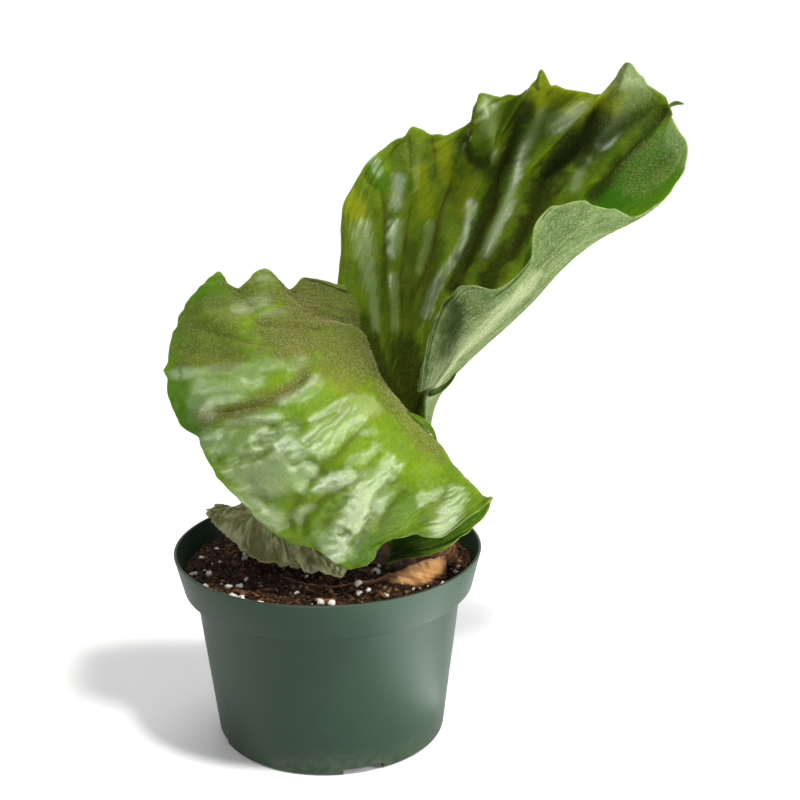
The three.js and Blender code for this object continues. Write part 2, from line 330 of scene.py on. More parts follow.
# %% Finish: satin green plastic
def green_plastic():
    finish = Finish("satin_green_plastic")
    cloud = finish.noise(28, 3)
    grain = finish.noise(0.55, 2)
    scuffs = finish.step(finish.noise(2.5, 6, 0.75, finish.stretched((1, 1, 6))), 0.60, 0.72)
    height = finish.node("SeparateXYZ", None, {0: finish.place()}, out="Z")
    dust = (1 - finish.step(height, 0.0, 0.018)) * finish.step(finish.noise(5, 5, 0.7), 0.35, 0.7)
    colour = finish.layers(finish.blend(cloud, (28, 50, 33), (35, 59, 41)),
                           [(scuffs * 0.2, (104, 122, 108)), (dust * 0.3, (112, 106, 90))])
    roughness = 0.42 + cloud * 0.08 + scuffs * 0.15 + dust * 0.25
    ripple = finish.noise(9, 2)
    return finish.finish(Base_Color=colour, Roughness=roughness.clamped(), Specular_IOR_Level=0.22,
                         Normal=finish.bump(grain * 0.25 + ripple, 0.10, 0.6))


# %% [markdown]
# Four drain ports are moulded where the wall meets the floor. A Boolean with a box cuts
# each one in a single step, and it keeps the cut edges crisp, as the steel of the mould
# leaves them. The result is baked into the mesh, and the boxes are thrown away.

# %% Build the pot
POT_SIDES, PORTS, SHARP_EDGE = 144, 4, math.radians(35)
PORT_WIDTH, PORT_HEIGHT, PORT_DEPTH, FIRST_PORT = 20.0, 3.2, 11.0, math.radians(-74)


def port_box(turn):
    bm = bmesh.new()
    spot = (Matrix.Rotation(turn, 4, "Z") @ Matrix.Translation(((BASE_RADIUS - 1) * MM, 0, 0))
            @ Matrix.Diagonal((PORT_DEPTH * MM, PORT_WIDTH * MM, 2 * PORT_HEIGHT * MM, 1)))
    bmesh.ops.create_cube(bm, size=1, matrix=spot)
    mesh = bpy.data.meshes.new("port_cutter")
    bm.to_mesh(mesh)
    bm.free()
    cutter = bpy.data.objects.new("port_cutter", mesh)
    scene.collection.objects.link(cutter)
    return cutter


def bake_modifiers(piece):
    depsgraph = bpy.context.evaluated_depsgraph_get()
    mesh = bpy.data.meshes.new_from_object(piece.evaluated_get(depsgraph))
    piece.modifiers.clear()
    piece.data = mesh
    mesh.set_sharp_from_angle(angle=SHARP_EDGE)


points, faces = spun(rounded_outline(POT_CORNERS), POT_SIDES)
pot = add_piece("green_pot", points, faces, green_plastic(), "pot")
cutters = [port_box(FIRST_PORT + number * 2 * math.pi / PORTS) for number in range(PORTS)]
for cutter in cutters:
    cut = pot.modifiers.new("port", "BOOLEAN")
    cut.object, cut.operation, cut.solver = cutter, "DIFFERENCE", "EXACT"
bake_modifiers(pot)
for cutter in cutters:
    bpy.data.objects.remove(cutter)
print("pot with ports:", len(pot.data.polygons), "faces")

# %% [markdown]
# ## Potting mix
# Seen from above the pot is full of coarse peat. The body of the mix is one closed solid
# with a tumbled top, and the loose things on it are separate meshes: crumbs of peat, white
# perlite and splinters of bark. Thousands of small stones, each a dented ball of its own,
# read as soil far better than any bump map.

# %% The body of the mix
SOIL_EDGE_Z, SOIL_MOUND, SOIL_SIDES, SOIL_RINGS = 85.5, 5.0, 240, 90
SOIL_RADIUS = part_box("potting_mix")[1][0] / MM
WALL_GAP, FLOOR_GAP, BAND_GAP = 3.0, 0.5, 2.0


def soil_height(x, y):
    reach = np.hypot(x, y) / BAND_RADIUS
    mound = SOIL_MOUND * np.maximum(0, 1 - reach ** 2)
    bump = 0.7 * np.sin(0.31 * x + 1.3) * np.cos(0.27 * y)
    crumb = 0.5 * np.sin(0.53 * y + 0.41 * x)
    return SOIL_EDGE_Z + mound + bump + crumb


def rough_soil(x, y):
    fine = 0.9 * hills(x / 5, y / 5, 1) + 0.6 * hills(x / 2.1, y / 2.1, 2) + 0.3 * hills(x, y, 3)
    return soil_height(x, y) + fine


def soil_solid():
    turns = np.linspace(0, 2 * np.pi, SOIL_SIDES, endpoint=False)
    bottom, shoulder = FLOOR + FLOOR_GAP, BAND_BOTTOM_Z + BAND_GAP
    wall = [(BASE_RADIUS - WALL_GAP, bottom), (SHOULDER_RADIUS - WALL_GAP, shoulder),
            (BAND_RADIUS - WALL_GAP, shoulder)]
    points = [(r * np.cos(t), r * np.sin(t), z) for r, z in wall for t in turns]
    for r in (np.linspace(1, 0, SOIL_RINGS) * SOIL_RADIUS)[:-1]:
        x, y = r * np.cos(turns), r * np.sin(turns)
        points += list(zip(x, y, rough_soil(x, y)))
    points += [(0, 0, bottom), (0, 0, float(rough_soil(np.zeros(1), np.zeros(1))[0]))]
    return np.array(points), ring_faces(SOIL_SIDES, len(wall) + SOIL_RINGS - 1)


# %% [markdown]
# Damp peat is nearly black, with paler crumbs where it has dried and a few straw-coloured
# threads. Each of the three comes from a noise of its own size. The clods and the crumbs
# are the small relief too.

# %% Finish: damp peat
def damp_peat():
    finish = Finish("damp_peat")
    clods = finish.noise(6, 5, 0.65)
    crumbs = finish.noise(1.1, 6, 0.7)
    threads = finish.step(finish.noise(0.9, 4, 0.6, finish.stretched((1, 0.25, 1))), 0.58, 0.66)
    colour = finish.layers(finish.blend(clods, (17, 11, 8), (50, 34, 24)),
                           [(finish.step(crumbs, 0.45, 0.7), (80, 58, 42)),
                            (threads * 0.5, (128, 88, 60))])
    return finish.finish(Base_Color=colour, Roughness=0.93, Specular_IOR_Level=0.1,
                         Normal=finish.bump(crumbs + clods * 0.5, 1.1))


points, faces = soil_solid()
add_piece("peat", points, faces, damp_peat(), "potting_mix")

# %% [markdown]
# Loose grains are one job done three times. Each grain starts as a small ball, is squashed
# by its own three numbers, dented by noise, turned, and sunk by about a third into the mix.
# All the grains of a kind share one mesh, so the scene stays light. The white grains along
# the front lie about where the picture shows them; chance places the rest.

# %% Scatter loose grains
LIFT = 0.25     # how far a grain's middle stands above the mix, as a share of its radius
SQUASH, TILT = (0.75, 1.25), 0.6


def ball(detail):
    bm = bmesh.new()
    bmesh.ops.create_icosphere(bm, subdivisions=detail, radius=1)
    points = np.array([vert.co[:] for vert in bm.verts])
    faces = np.array([[vert.index for vert in face.verts] for face in bm.faces])
    bm.free()
    return points, faces


def random_turn(random):
    turn = Matrix.Rotation(random.uniform(0, 2 * np.pi), 3, "Z")
    return np.array(turn @ Matrix.Rotation(random.uniform(-TILT, TILT), 3, "X"))


def lay_grains(name, material, places, sizes, shape, dent, seed, detail=1):
    """One mesh of many grains. shape gives each grain's proportions along its three axes."""
    random = np.random.RandomState(seed)
    stone, stone_faces = ball(detail)
    points, faces, tint = [], [], []
    for (x, y), size in zip(places, sizes):
        bumps = 1 + dent * random.uniform(-1, 1, (len(stone), 1))
        squash = np.array(shape) * random.uniform(*SQUASH, 3)
        grain = (stone * bumps * squash * size) @ random_turn(random).T
        lift = rough_soil(np.array([x]), np.array([y]))[0] + LIFT * size * shape[2]
        faces.append(stone_faces + len(points) * len(stone))
        points.append(grain + (x, y, lift))
        tint.append(np.full(len(stone), random.uniform()))
    add_piece(name, np.concatenate(points), np.concatenate(faces), material,
              fields={"tint": np.concatenate(tint)})


def spots(count, seed, reach):
    """Random places on the mix, as dense at its edge as in the middle."""
    random = np.random.RandomState(seed)
    radius = reach * np.sqrt(random.uniform(0.05, 1, count))
    turn = random.uniform(0, 2 * np.pi, count)
    return np.stack([radius * np.cos(turn), radius * np.sin(turn)], 1)


# %% [markdown]
# Each grain has a number of its own, its tint, which picks its colour between two. Crumbs
# are mostly dark and seldom pale, hence the power; perlite is white glass foam with dirty
# pores; a splinter of bark shows its fibres along its length.

# %% Finishes: crumbs, perlite and bark
def crumb_finish():
    finish = Finish("peat_crumbs")
    tint = finish.field("tint")
    colour = finish.blend(tint ** 2.4, (16, 11, 8), (138, 104, 74))
    colour = finish.blend(finish.noise(0.8, 4) * 0.4, colour, (52, 32, 20))
    return finish.finish(Base_Color=colour, Roughness=0.95, Specular_IOR_Level=0.1,
                         Normal=finish.bump(finish.noise(0.6, 4, 0.7), 0.4))


def perlite_finish():
    finish = Finish("perlite")
    tint = finish.field("tint")
    pores = finish.step(finish.noise(0.7, 4, 0.7), 0.35, 0.6)
    colour = finish.blend(tint, (205, 200, 190), (240, 238, 232))
    colour = finish.blend((1 - pores) * 0.55, colour, (120, 104, 86))
    return finish.finish(Base_Color=colour, Roughness=0.9,
                         Normal=finish.bump(finish.noise(0.5, 5, 0.7), 0.35))


def bark_finish():
    finish = Finish("bark_splinters")
    tint = finish.field("tint")
    fibres = finish.noise(1.0, 5, 0.7, finish.stretched((1, 3, 3)))
    colour = finish.blend(tint, (62, 36, 22), (150, 104, 66))
    colour = finish.blend(fibres * 0.6, colour, (52, 30, 20))
    return finish.finish(Base_Color=colour, Roughness=0.88, Specular_IOR_Level=0.15,
                         Normal=finish.bump(fibres, 0.5))


# %% Put the grains on the mix
CRUMBS, WHITE_GRAINS, SPLINTERS = 6500, 150, 130
FRONT_GRAINS = [(-58, -28), (-47, -33), (-44, -44), (-26, -58), (-31, -52), (-12, -66), (3, -66),
                (24, -62), (34, -58), (41, -52), (47, -46), (55, -36), (62, -20), (-66, -12),
                (-64, 8), (52, -41)]
random = np.random.RandomState(11)
lay_grains("peat_crumbs", crumb_finish(), spots(CRUMBS, 12, 70.0),
           random.gamma(2.0, 0.29, CRUMBS).clip(0.25, 2.3),
           shape=(1.0, 0.8, 0.65), dent=0.35, seed=13)

perlite = np.concatenate([FRONT_GRAINS, spots(WHITE_GRAINS, 21, 68.0)])
sizes = np.concatenate([random.uniform(1.3, 2.2, len(FRONT_GRAINS)),
                        random.gamma(3.5, 0.3, WHITE_GRAINS).clip(0.5, 2.1)])
lay_grains("perlite", perlite_finish(), perlite, sizes,
           shape=(1.0, 0.85, 0.75), dent=0.24, seed=22, detail=2)

lay_grains("bark_splinters", bark_finish(), spots(SPLINTERS, 31, 67.0),
           random.uniform(1.0, 2.6, SPLINTERS),
           shape=(2.0, 0.55, 0.28), dent=0.22, seed=32, detail=2)

# %% [markdown]
# ## Fronds as lofted surfaces
# A staghorn's frond is one leathery sheet that fans out from a narrow foot and folds as it
# grows. The sheet is a loft: a handful of curves run across it, from foot to margin, and a
# smooth rib is drawn through them at every step across. The curves are those of the plain
# solids, so the finer sheet lies where they do.

# %% Loft helpers
def curve_through(points, places):
    """Points on the uniform Catmull-Rom spline through the given ones; places run 0 to 1."""
    points = np.asarray(points, float)
    ahead_of, behind = 2 * points[0] - points[1], 2 * points[-1] - points[-2]
    padded = np.concatenate([[ahead_of], points, [behind]])
    steps = np.clip(places, 0, 1) * (len(points) - 1)
    span = np.minimum(steps.astype(int), len(points) - 2)
    part = (steps - span).reshape((-1,) + (1,) * (points.ndim - 1))
    p0, p1, p2, p3 = (padded[span + shift] for shift in range(4))
    leave, arrive = (p2 - p0) / 2, (p3 - p1) / 2
    return (p1 + leave * part + (3 * (p2 - p1) - 2 * leave - arrive) * part ** 2
            + (2 * (p1 - p2) + leave + arrive) * part ** 3)


def loft(curves, rows, columns):
    """A sheet of points through curves that run across a leaf, from its foot to its margin."""
    finer = [curve_through(curve, np.linspace(0, 1, columns)) for curve in curves]
    return curve_through(finer, np.linspace(0, 1, rows))


# %% Sheet helpers
def upper_normals(sheet):
    """Unit normals on the upper side of a leaf whose rows run from foot to margin."""
    normal = np.cross(np.gradient(sheet, axis=1), np.gradient(sheet, axis=0))
    return normal / (np.linalg.norm(normal, axis=2, keepdims=True) + 1e-12)


def walked(sheet, axis):
    """Millimetres walked along a sheet's rows or columns."""
    step = np.linalg.norm(np.diff(sheet, axis=axis), axis=2)
    return np.insert(np.cumsum(step, axis=axis), 0, 0, axis=axis)


def measured(sheet):
    """Where each point is, up the leaf and across it: u and v from 0 to 1, s and t in mm."""
    up_leaf, over_leaf = (np.linspace(0, 1, count) for count in sheet.shape[:2])
    u, v = np.meshgrid(up_leaf, over_leaf, indexing="ij")
    return u, v, walked(sheet, 0), walked(sheet, 1)


def raised(sheet, height):
    """A sheet moved along its normals, by so many millimetres at each point."""
    return sheet + upper_normals(sheet) * height[..., None]


def outward(sheet):
    """Unit steps from the points of a sheet towards its margin."""
    out = np.gradient(sheet, axis=0)
    return out / (np.linalg.norm(out, axis=2, keepdims=True) + 1e-12)


def pleated(look, u, v):
    """Even folds across a leaf, which deepen towards its margin."""
    waves = np.sin(2 * np.pi * look["pleats"] * v)
    return look["pleat"] * ease(look["pleat_start"], 1, u) * waves


def two_sided(sheet, thick):
    """Points and faces of a closed leaf round a middle sheet, the upper points first."""
    rows, columns = sheet.shape[:2]
    points = np.concatenate([raised(sheet, way * thick / 2).reshape(-1, 3) for way in (1, -1)])
    index = np.arange(rows * columns).reshape(rows, columns)
    a, b, c, d = index[:-1, :-1], index[1:, :-1], index[1:, 1:], index[:-1, 1:]
    top = np.stack([a, d, c, b], -1).reshape(-1, 4)
    under = np.stack([a, b, c, d], -1).reshape(-1, 4) + rows * columns
    rim = np.concatenate([index[0, :-1], index[:-1, -1], index[-1, :0:-1], index[:0:-1, 0]])
    after = np.roll(rim, -1)
    edge = np.stack([rim, rim + rows * columns, after + rows * columns, after], -1)
    return points, np.concatenate([top, under, edge])


def add_leaf(name, sheet, thick, material, stands_for, fields):
    """A leaf as a piece. Both of its sides carry the sheet's fields; upper tells them apart."""
    points, faces = two_sided(sheet, thick)
    stored = {key: np.tile(values.ravel(), 2) for key, values in fields.items()}
    stored["upper"] = np.repeat([1.0, 0.0], len(points) // 2)
    add_piece(name, points, faces, material, stands_for, stored)


# %% [markdown]
# ### Brush strokes on a leaf
# Random noise makes a leaf, but not this leaf. Its strongest folds, grooves and coloured
# patches are drawn as strokes in the picture that the camera takes, and each stroke is
# dropped onto the nearest layer of the sheet. A stroke is an amount, a width in
# millimetres and a path in pixels. The same brush then sculpts the sheet and paints it.

# %% The brush
SAME_LAYER_PX, LINE_STEPS = 1.5, 6      # slack round a pixel; points for each one of a path


def seen_first(seen, across_px, down_px):
    """The number of the point that the camera sees at a pixel: the nearest of those close by."""
    x, y, depth = seen
    off = np.hypot(x - across_px, y - down_px)
    return np.where(off < off.min() + SAME_LAYER_PX, depth, np.inf).argmin()


def dropped(sheet, path):
    """Lays a path, drawn in the camera's pixels, onto the layer of the sheet that is seen."""
    points = sheet.reshape(-1, 3)
    seen = seen_at(points)
    line = [points[seen_first(seen, *pixel)] for pixel in path]
    if len(line) == 1:
        return line
    return curve_through(line, np.linspace(0, 1, LINE_STEPS * len(line)))


def brush(sheet, width, path, power=2.0, taper=0.0):
    """How strongly one stroke marks each point of a sheet, from 0 to 1."""
    line = np.array(dropped(sheet, path))
    mark = np.zeros(sheet.shape[0] * sheet.shape[1])
    points = sheet.reshape(-1, 3)
    middle = line.mean(0)
    reach = np.linalg.norm(line - middle, axis=1).max() + 4 * width
    close = np.linalg.norm(points - middle, axis=1) < reach
    points = points[close]
    nearest, place = np.linalg.norm(points - line[0], axis=1), np.full(len(points), 0.5)
    for number in range(len(line) - 1):
        start, span = line[number], line[number + 1] - line[number]
        part = np.clip((points - start) @ span / (span @ span + 1e-9), 0, 1)
        off = np.linalg.norm(points - start - part[:, None] * span, axis=1)
        closer = off <= nearest
        nearest = np.where(closer, off, nearest)
        place = np.where(closer, (number + part) / (len(line) - 1), place)
    ends = ease(-0.01, taper, place) * ease(-0.01, taper, 1 - place)
    mark[close] = np.exp(-(nearest / width) ** power) * ends
    return mark.reshape(sheet.shape[:2])


# %% What the brush does: fold, paint and pull
def folded(sheet, folds):
    """Relief of folds, and where the grooves are. Grooves are pointed, crests are round."""
    relief, groove = np.zeros(sheet.shape[:2]), np.zeros(sheet.shape[:2])
    for height, width, path in folds:
        mark = brush(sheet, width, path, 2.0 if height > 0 else 1.3, taper=0.18)
        relief += height * mark
        if height < 0:
            groove = np.maximum(groove, min(1, -height / 2.6) * mark ** 2.5)
    return relief, groove


def painted(sheet, strokes, rough):
    """A patch of paint from several strokes; the rough field frays its soft edge."""
    paint_field = np.zeros(sheet.shape[:2])
    for amount, width, path in strokes:
        mark = brush(sheet, width, path)
        frayed = mark + 0.25 * rough * ease(0.03, 0.5, mark)
        paint_field = np.maximum(paint_field, amount * ease(0.14, 0.86, frayed))
    return paint_field


def pulled(sheet, pulls):
    """Drags small areas of a sheet; each pull is (x, y, radius mm, move mm)."""
    for across_px, down_px, radius, move in pulls:
        centre = dropped(sheet, [(across_px, down_px)])[0]
        off = np.linalg.norm(sheet - centre, axis=2) / radius
        sheet = sheet + np.exp(-off ** 2)[..., None] * np.array(move)
    return sheet


# %% [markdown]
# ### Down
# The down stands up from the skin. On the fern each hair is a tiny star on a stalk. Three
# thin spikes that lean apart are enough at this distance, and they give a fold its soft
# edge, which no bump can do because a bump leaves the outline sharp.

# %% Hairs of the down
HAIR_RADIUS, HAIR_LEAN, HAIR_LENGTHS, SPIKES = 0.09, 0.7, (0.5, 1.2), 3
HAIR_SPREAD, HAIR_SUNK = 0.35, 0.1
SPIKE_CORNERS = np.array([(0, 2, 1), (0, 1, 3), (1, 2, 3), (2, 0, 3)])


def add_down(name, skin, normals, amount, count, seed):
    """Scatters hairs over a sheet, most of them where the amount is high."""
    random = np.random.RandomState(seed)
    odds = (amount ** 1.5).ravel()
    roots = random.choice(len(odds), count, p=odds / odds.sum())
    upright = normals.reshape(-1, 3)[roots]
    shift = random.normal(0, HAIR_SPREAD, (count, 3))
    shift -= (shift * upright).sum(1, keepdims=True) * upright
    spot = skin.reshape(-1, 3)[roots] + shift
    hairs = []
    for _ in range(SPIKES):
        way = upright + random.normal(0, HAIR_LEAN, (count, 3))
        way /= np.linalg.norm(way, axis=1, keepdims=True)
        side = np.cross(way, (0.3, 0.5, 0.8))
        side /= np.linalg.norm(side, axis=1, keepdims=True)
        other = np.cross(way, side)
        foot = spot - HAIR_SUNK * upright
        base = [foot + HAIR_RADIUS * (side * math.cos(turn) + other * math.sin(turn))
                for turn in np.linspace(0, 2 * math.pi, 3, endpoint=False)]
        tip = spot + way * random.uniform(*HAIR_LENGTHS, (count, 1))
        hairs.append(np.stack(base + [tip], 1))
    points = np.concatenate(hairs).reshape(-1, 3)
    faces = (np.arange(count * SPIKES)[:, None, None] * 4 + SPIKE_CORNERS).reshape(-1, 3)
    finish = Finish(name)
    colour = finish.blend(finish.noise(3, 2), (134, 128, 84), (176, 170, 122))
    material = finish.finish(Base_Color=colour, Roughness=0.9, Specular_IOR_Level=0.1)
    add_piece(name, points, faces, material)


# %% [markdown]
# ### Quilting
# Between its veins the leaf puffs up in small cushions. A smooth random field crosses zero
# along wandering lines; its distance from zero, bent by an exponential, gives sharp
# creases along those lines and cushions between them.

# %% Build a frond
CREASE_WIDTH = 0.22     # as a share of a hill's height


def quilt(s, t, size, seed):
    return 1 - np.exp(-np.abs(hills(s / size[0], t / size[1], seed)) / CREASE_WIDTH)


def build_frond(name, curves, look, material, node, rows, columns):
    sheet, seed = pulled(loft(curves, rows, columns), look["pulls"]), look["seed"]
    u, v, s, t = measured(sheet)
    t = t - t[:, columns // 2][:, None]     # counted from the middle, so nothing shears
    sheet = raised(sheet, -pleated(look, u, v))
    rough = hills(s / 5, t / 4, seed + 6) + 0.6 * hills(s / 2, t / 1.6, seed + 7)
    fields = {key: painted(sheet, strokes, rough) for key, strokes in look["paints"].items()}
    folds, fields["groove"] = folded(sheet, look["folds"])
    # Cushions fade in above the foot; the ruffle and the scallops are only near the margin.
    cushions = (look["quilt"] * quilt(s, t, look["cushion"], seed)
                + look["wrinkle"] * hills(s / 3.6, t / 2.4, seed + 1))
    relief = ease(0.15, 0.45, u) * cushions + folds
    relief += ease(0.88, 1, u) * look["ruffle"] * hills(t / 5.5, u * 2, seed + 3)
    scallop = ease(0.95, 1, u) * look["scallop"] * hills(t / 4.2, 0 * u + 3, seed + 4)
    sheet = raised(sheet, relief) + outward(sheet) * scallop[..., None]
    fields["margin"] = s[-1] - s
    fields["streak"] = hills(s / 18, t / 1.5, seed + 9) + 0.5 * hills(s / 9, t / 0.8, seed + 10)
    thick = look["thick"] + (look["foot_thick"] - look["thick"]) * (1 - u) ** 3
    thick = thick * (0.5 + 0.5 * ease(0, 3.0, fields["margin"]))
    add_down(name + "_down", raised(sheet, thick / 2), upper_normals(sheet), fields["down"],
             look["hairs"], seed + 8)
    add_leaf(name, sheet, thick, material, node, fields)


# %% [markdown]
# ### The leaf's skin
# The upper face is waxy where the leaf is bare and matt where a down of star-shaped hairs
# still sits, above all along the fold. So the wax is a coat over the leaf, and its weight
# is one of the painted fields; the same sheen field also mixes a pale painted highlight
# into the colour. The underside is pale and felted, and there the sheen strokes paint a
# highlight in the felt colour. Other painted fields paint sunlight, shade, and a deeper
# green for light shining through the leaf from behind and for shade. Light that enters a
# leaf leaves it a few millimetres on, so a little subsurface scattering makes thin parts glow.

# %% Finish: fern leaf
GLOW_REACH = (0.0025, 0.004, 0.001)     # metres that red, green and blue light creep inside


def leaf_finish(name, hues, bare_wax, wax, matt, blur):
    """hues: the colours of the leaf's sides, veins, hairs and painted patches.

    bare_wax is the coat everywhere and wax what the painted sheen adds; matt is how rough
    the leaf is, and blur how rough its coat.
    """
    finish = Finish(name)
    groove, down, sheen = (finish.field(key) for key in ("groove", "down", "sheen"))
    shade, upper = finish.field("shade"), finish.step(finish.field("upper"), 0.4, 0.6)
    patches = finish.step(finish.noise(24, 3, 0.55), 0.35, 0.65)
    mottle = finish.noise(4.5, 4, 0.6)
    hairs = finish.noise(1.0, 3, 0.75)
    fleck = finish.step(hairs, 0.50, 0.66)
    grit = finish.step(finish.noise(1.3, 5, 0.85), 0.36, 0.64)
    streak = finish.step(finish.field("streak"), 0.0, 0.9)
    rim = 1 - finish.step(finish.field("margin"), 0.1, 0.6)
    top = finish.layers(finish.blend(patches, hues["deep"], hues["fresh"]), [
        (finish.step(mottle, 0.4, 0.75) * 0.5, hues["bright"]),
        (finish.field("sun"), hues["sun"]),
        # painted light and shade: a deeper green where light shines through the leaf from behind,
        # and where a face is turned from the lamps
        (finish.field("backlit_and_shaded_green"), hues["backlit_and_shaded_green"]),
        (streak * 0.3, hues["deep"]),
        ((1 - grit) * (0.22 + down * 0.25), hues["dark"]),
        ((groove * 0.85).clamped(), hues["groove"]),
        # painted highlight: where the wax lies, a pale sheen colour is mixed into the upper colour
        (sheen * 0.22, hues["sheen"]),
        ((shade * (0.72 + grit * 0.25)).clamped(), hues["dark"]),
        ((down * (0.32 + grit * 0.6)).clamped(), hues["down"]),
        ((fleck * (0.06 + down * 0.55)).clamped(), hues["hair"]),
    ])
    below = finish.layers(
        finish.blend(finish.step(mottle, 0.3, 0.7), hues["under"], hues["under_pale"]), [
            # painted highlight: the sheen strokes lighten the underside with the felt colour
            ((streak * 0.35 + sheen * 0.8).clamped(), hues["felt_and_sheen"]),
            (fleck * 0.6, hues["felt_and_sheen"]),
            ((1 - grit) * 0.45, hues["under_deep"]),
            ((groove * 0.5).clamped(), hues["felt_and_sheen"]),
            (shade * 0.85, hues["shade"]),
        ])
    colour = finish.layers(below, [(upper, top), (rim * 0.3, hues["rim"])])
    bare = (1 - down * 0.7) * (1 - groove * 0.6) * (1 - shade * 0.9)
    coat = upper * bare * (bare_wax + sheen * wax) * (0.5 + grit * 0.5)
    roughness = matt + groove * 0.1 + down * 0.25 + mottle * 0.1 + (1 - upper) * 0.2
    surface = hairs * (0.35 + down) + grit * 0.5 + mottle * 0.7
    return finish.finish(Base_Color=colour, Roughness=roughness.clamped(),
                         Subsurface_Weight=0.3, Subsurface_Radius=GLOW_REACH,
                         Subsurface_Scale=1.0, Specular_IOR_Level=0.05,
                         Coat_Weight=coat.clamped(), Coat_Roughness=blur, Coat_IOR=1.8,
                         Normal=finish.bump(surface, 0.55, 0.85))


# %% [markdown]
# ### The front frond
# It climbs out of sight behind its own fold, tips over a long ridge and hangs to the front
# left like a cape. Its lowest lobe turns back under itself at the right and forms the dark
# mouth above the soil.

# %% Front frond: its curves
FRONT_CURVES = [
    [[29, -9, 99], [34, 0, 99], [25, 7, 99]],
    [[31, -13, 104], [50, -3, 113], [54, 1, 126], [46, -2, 136], [38, 1, 144], [32, 4, 147],
     [28, 7, 147], [24, 10, 145], [21, 12, 142]],
    [[31, -20, 105], [64, -14, 123], [58, -12, 145], [43, -14, 162], [30, -8, 175], [22, -2, 186],
     [19, 4, 195], [19, 9, 199], [17, 16, 186]],
    [[30, -27, 101], [73, -23, 127], [54, -36, 136], [28, -46, 142], [-1, -48, 160],
     [-17, -42, 180], [-26, -22, 201], [-12, -3, 211], [17, 16, 210]],
    [[28, -33, 98], [54, -34, 105], [74, -26, 118], [79, -29, 129], [71, -36, 124],
     [55, -39, 114], [40, -43, 116], [28, -46, 112], [21, -50, 106], [9, -54, 105],
     [-6, -52, 115], [-21, -50, 119], [-43, -44, 139], [-53, -40, 154], [-57, -38, 163],
     [-66, -34, 171], [-72, -28, 187], [-70, -8, 206], [-63, 5, 219], [-51, 14, 230],
     [-41, 9, 225], [-28, 18, 230], [-17, 13, 224], [-7, 17, 227], [11, 15, 223]],
]

# %% Front frond: its folds
# Each is a height in mm (a groove is negative), a width in mm and a path in pixels.
FRONT_FOLDS = [
    (1.8, 5.0, [(168, 369), (192, 366), (242, 364), (280, 360), (306, 355), (330, 346)]),
    (-3.0, 3.6, [(197, 419), (230, 410), (261, 401), (280, 391), (299, 379), (312, 366)]),
    (-1.5, 2.2, [(206, 432), (234, 428), (255, 425), (275, 426), (300, 422), (319, 416),
        (338, 407), (352, 396)]),
    (-1.2, 2.0, [(250, 444), (257, 438), (266, 434), (282, 433)]),
    (-2.0, 2.2, [(305, 446), (309, 439), (322, 427), (333, 419), (341, 411), (352, 402)]),
    (-1.3, 2.0, [(212, 474), (228, 467), (243, 462), (258, 456), (274, 447)]),
    (-2.4, 2.6, [(371, 421), (360, 431), (348, 444), (340, 455), (325, 464), (319, 475),
        (308, 485), (295, 496)]),
    (-1.3, 2.0, [(286, 471), (297, 466), (307, 463), (320, 463)]),
    (-2.2, 2.6, [(380, 450), (368, 465), (356, 480), (344, 488), (332, 494), (318, 503),
        (307, 514), (303, 527), (300, 541)]),
    (-1.8, 2.4, [(301, 496), (292, 508), (288, 521), (287, 538)]),
    (-1.3, 2.4, [(352, 492), (336, 510), (325, 523), (318, 538)]),
    (-2.4, 2.8, [(398, 470), (388, 484), (377, 499), (371, 518), (363, 537), (354, 551),
        (352, 566)]),
    (-1.5, 2.4, [(407, 484), (400, 493), (392, 506), (383, 520), (376, 536)]),
    (-1.2, 1.8, [(338, 540), (344, 538), (349, 531)]),
    (-1.4, 2.2, [(452, 490), (436, 502), (424, 514), (416, 530)]),
    (-1.2, 2.4, [(250, 322), (280, 326), (306, 328), (330, 330)]),
    (1.4, 4.0, [(196, 300), (216, 318), (250, 330)]),
    (-1.2, 2.4, [(184, 322), (215, 334), (250, 342), (280, 345)]),
    (-1.0, 2.0, [(222, 497), (240, 487), (256, 482)]),
    (-1.0, 2.0, [(236, 512), (252, 500), (268, 496)]),
]
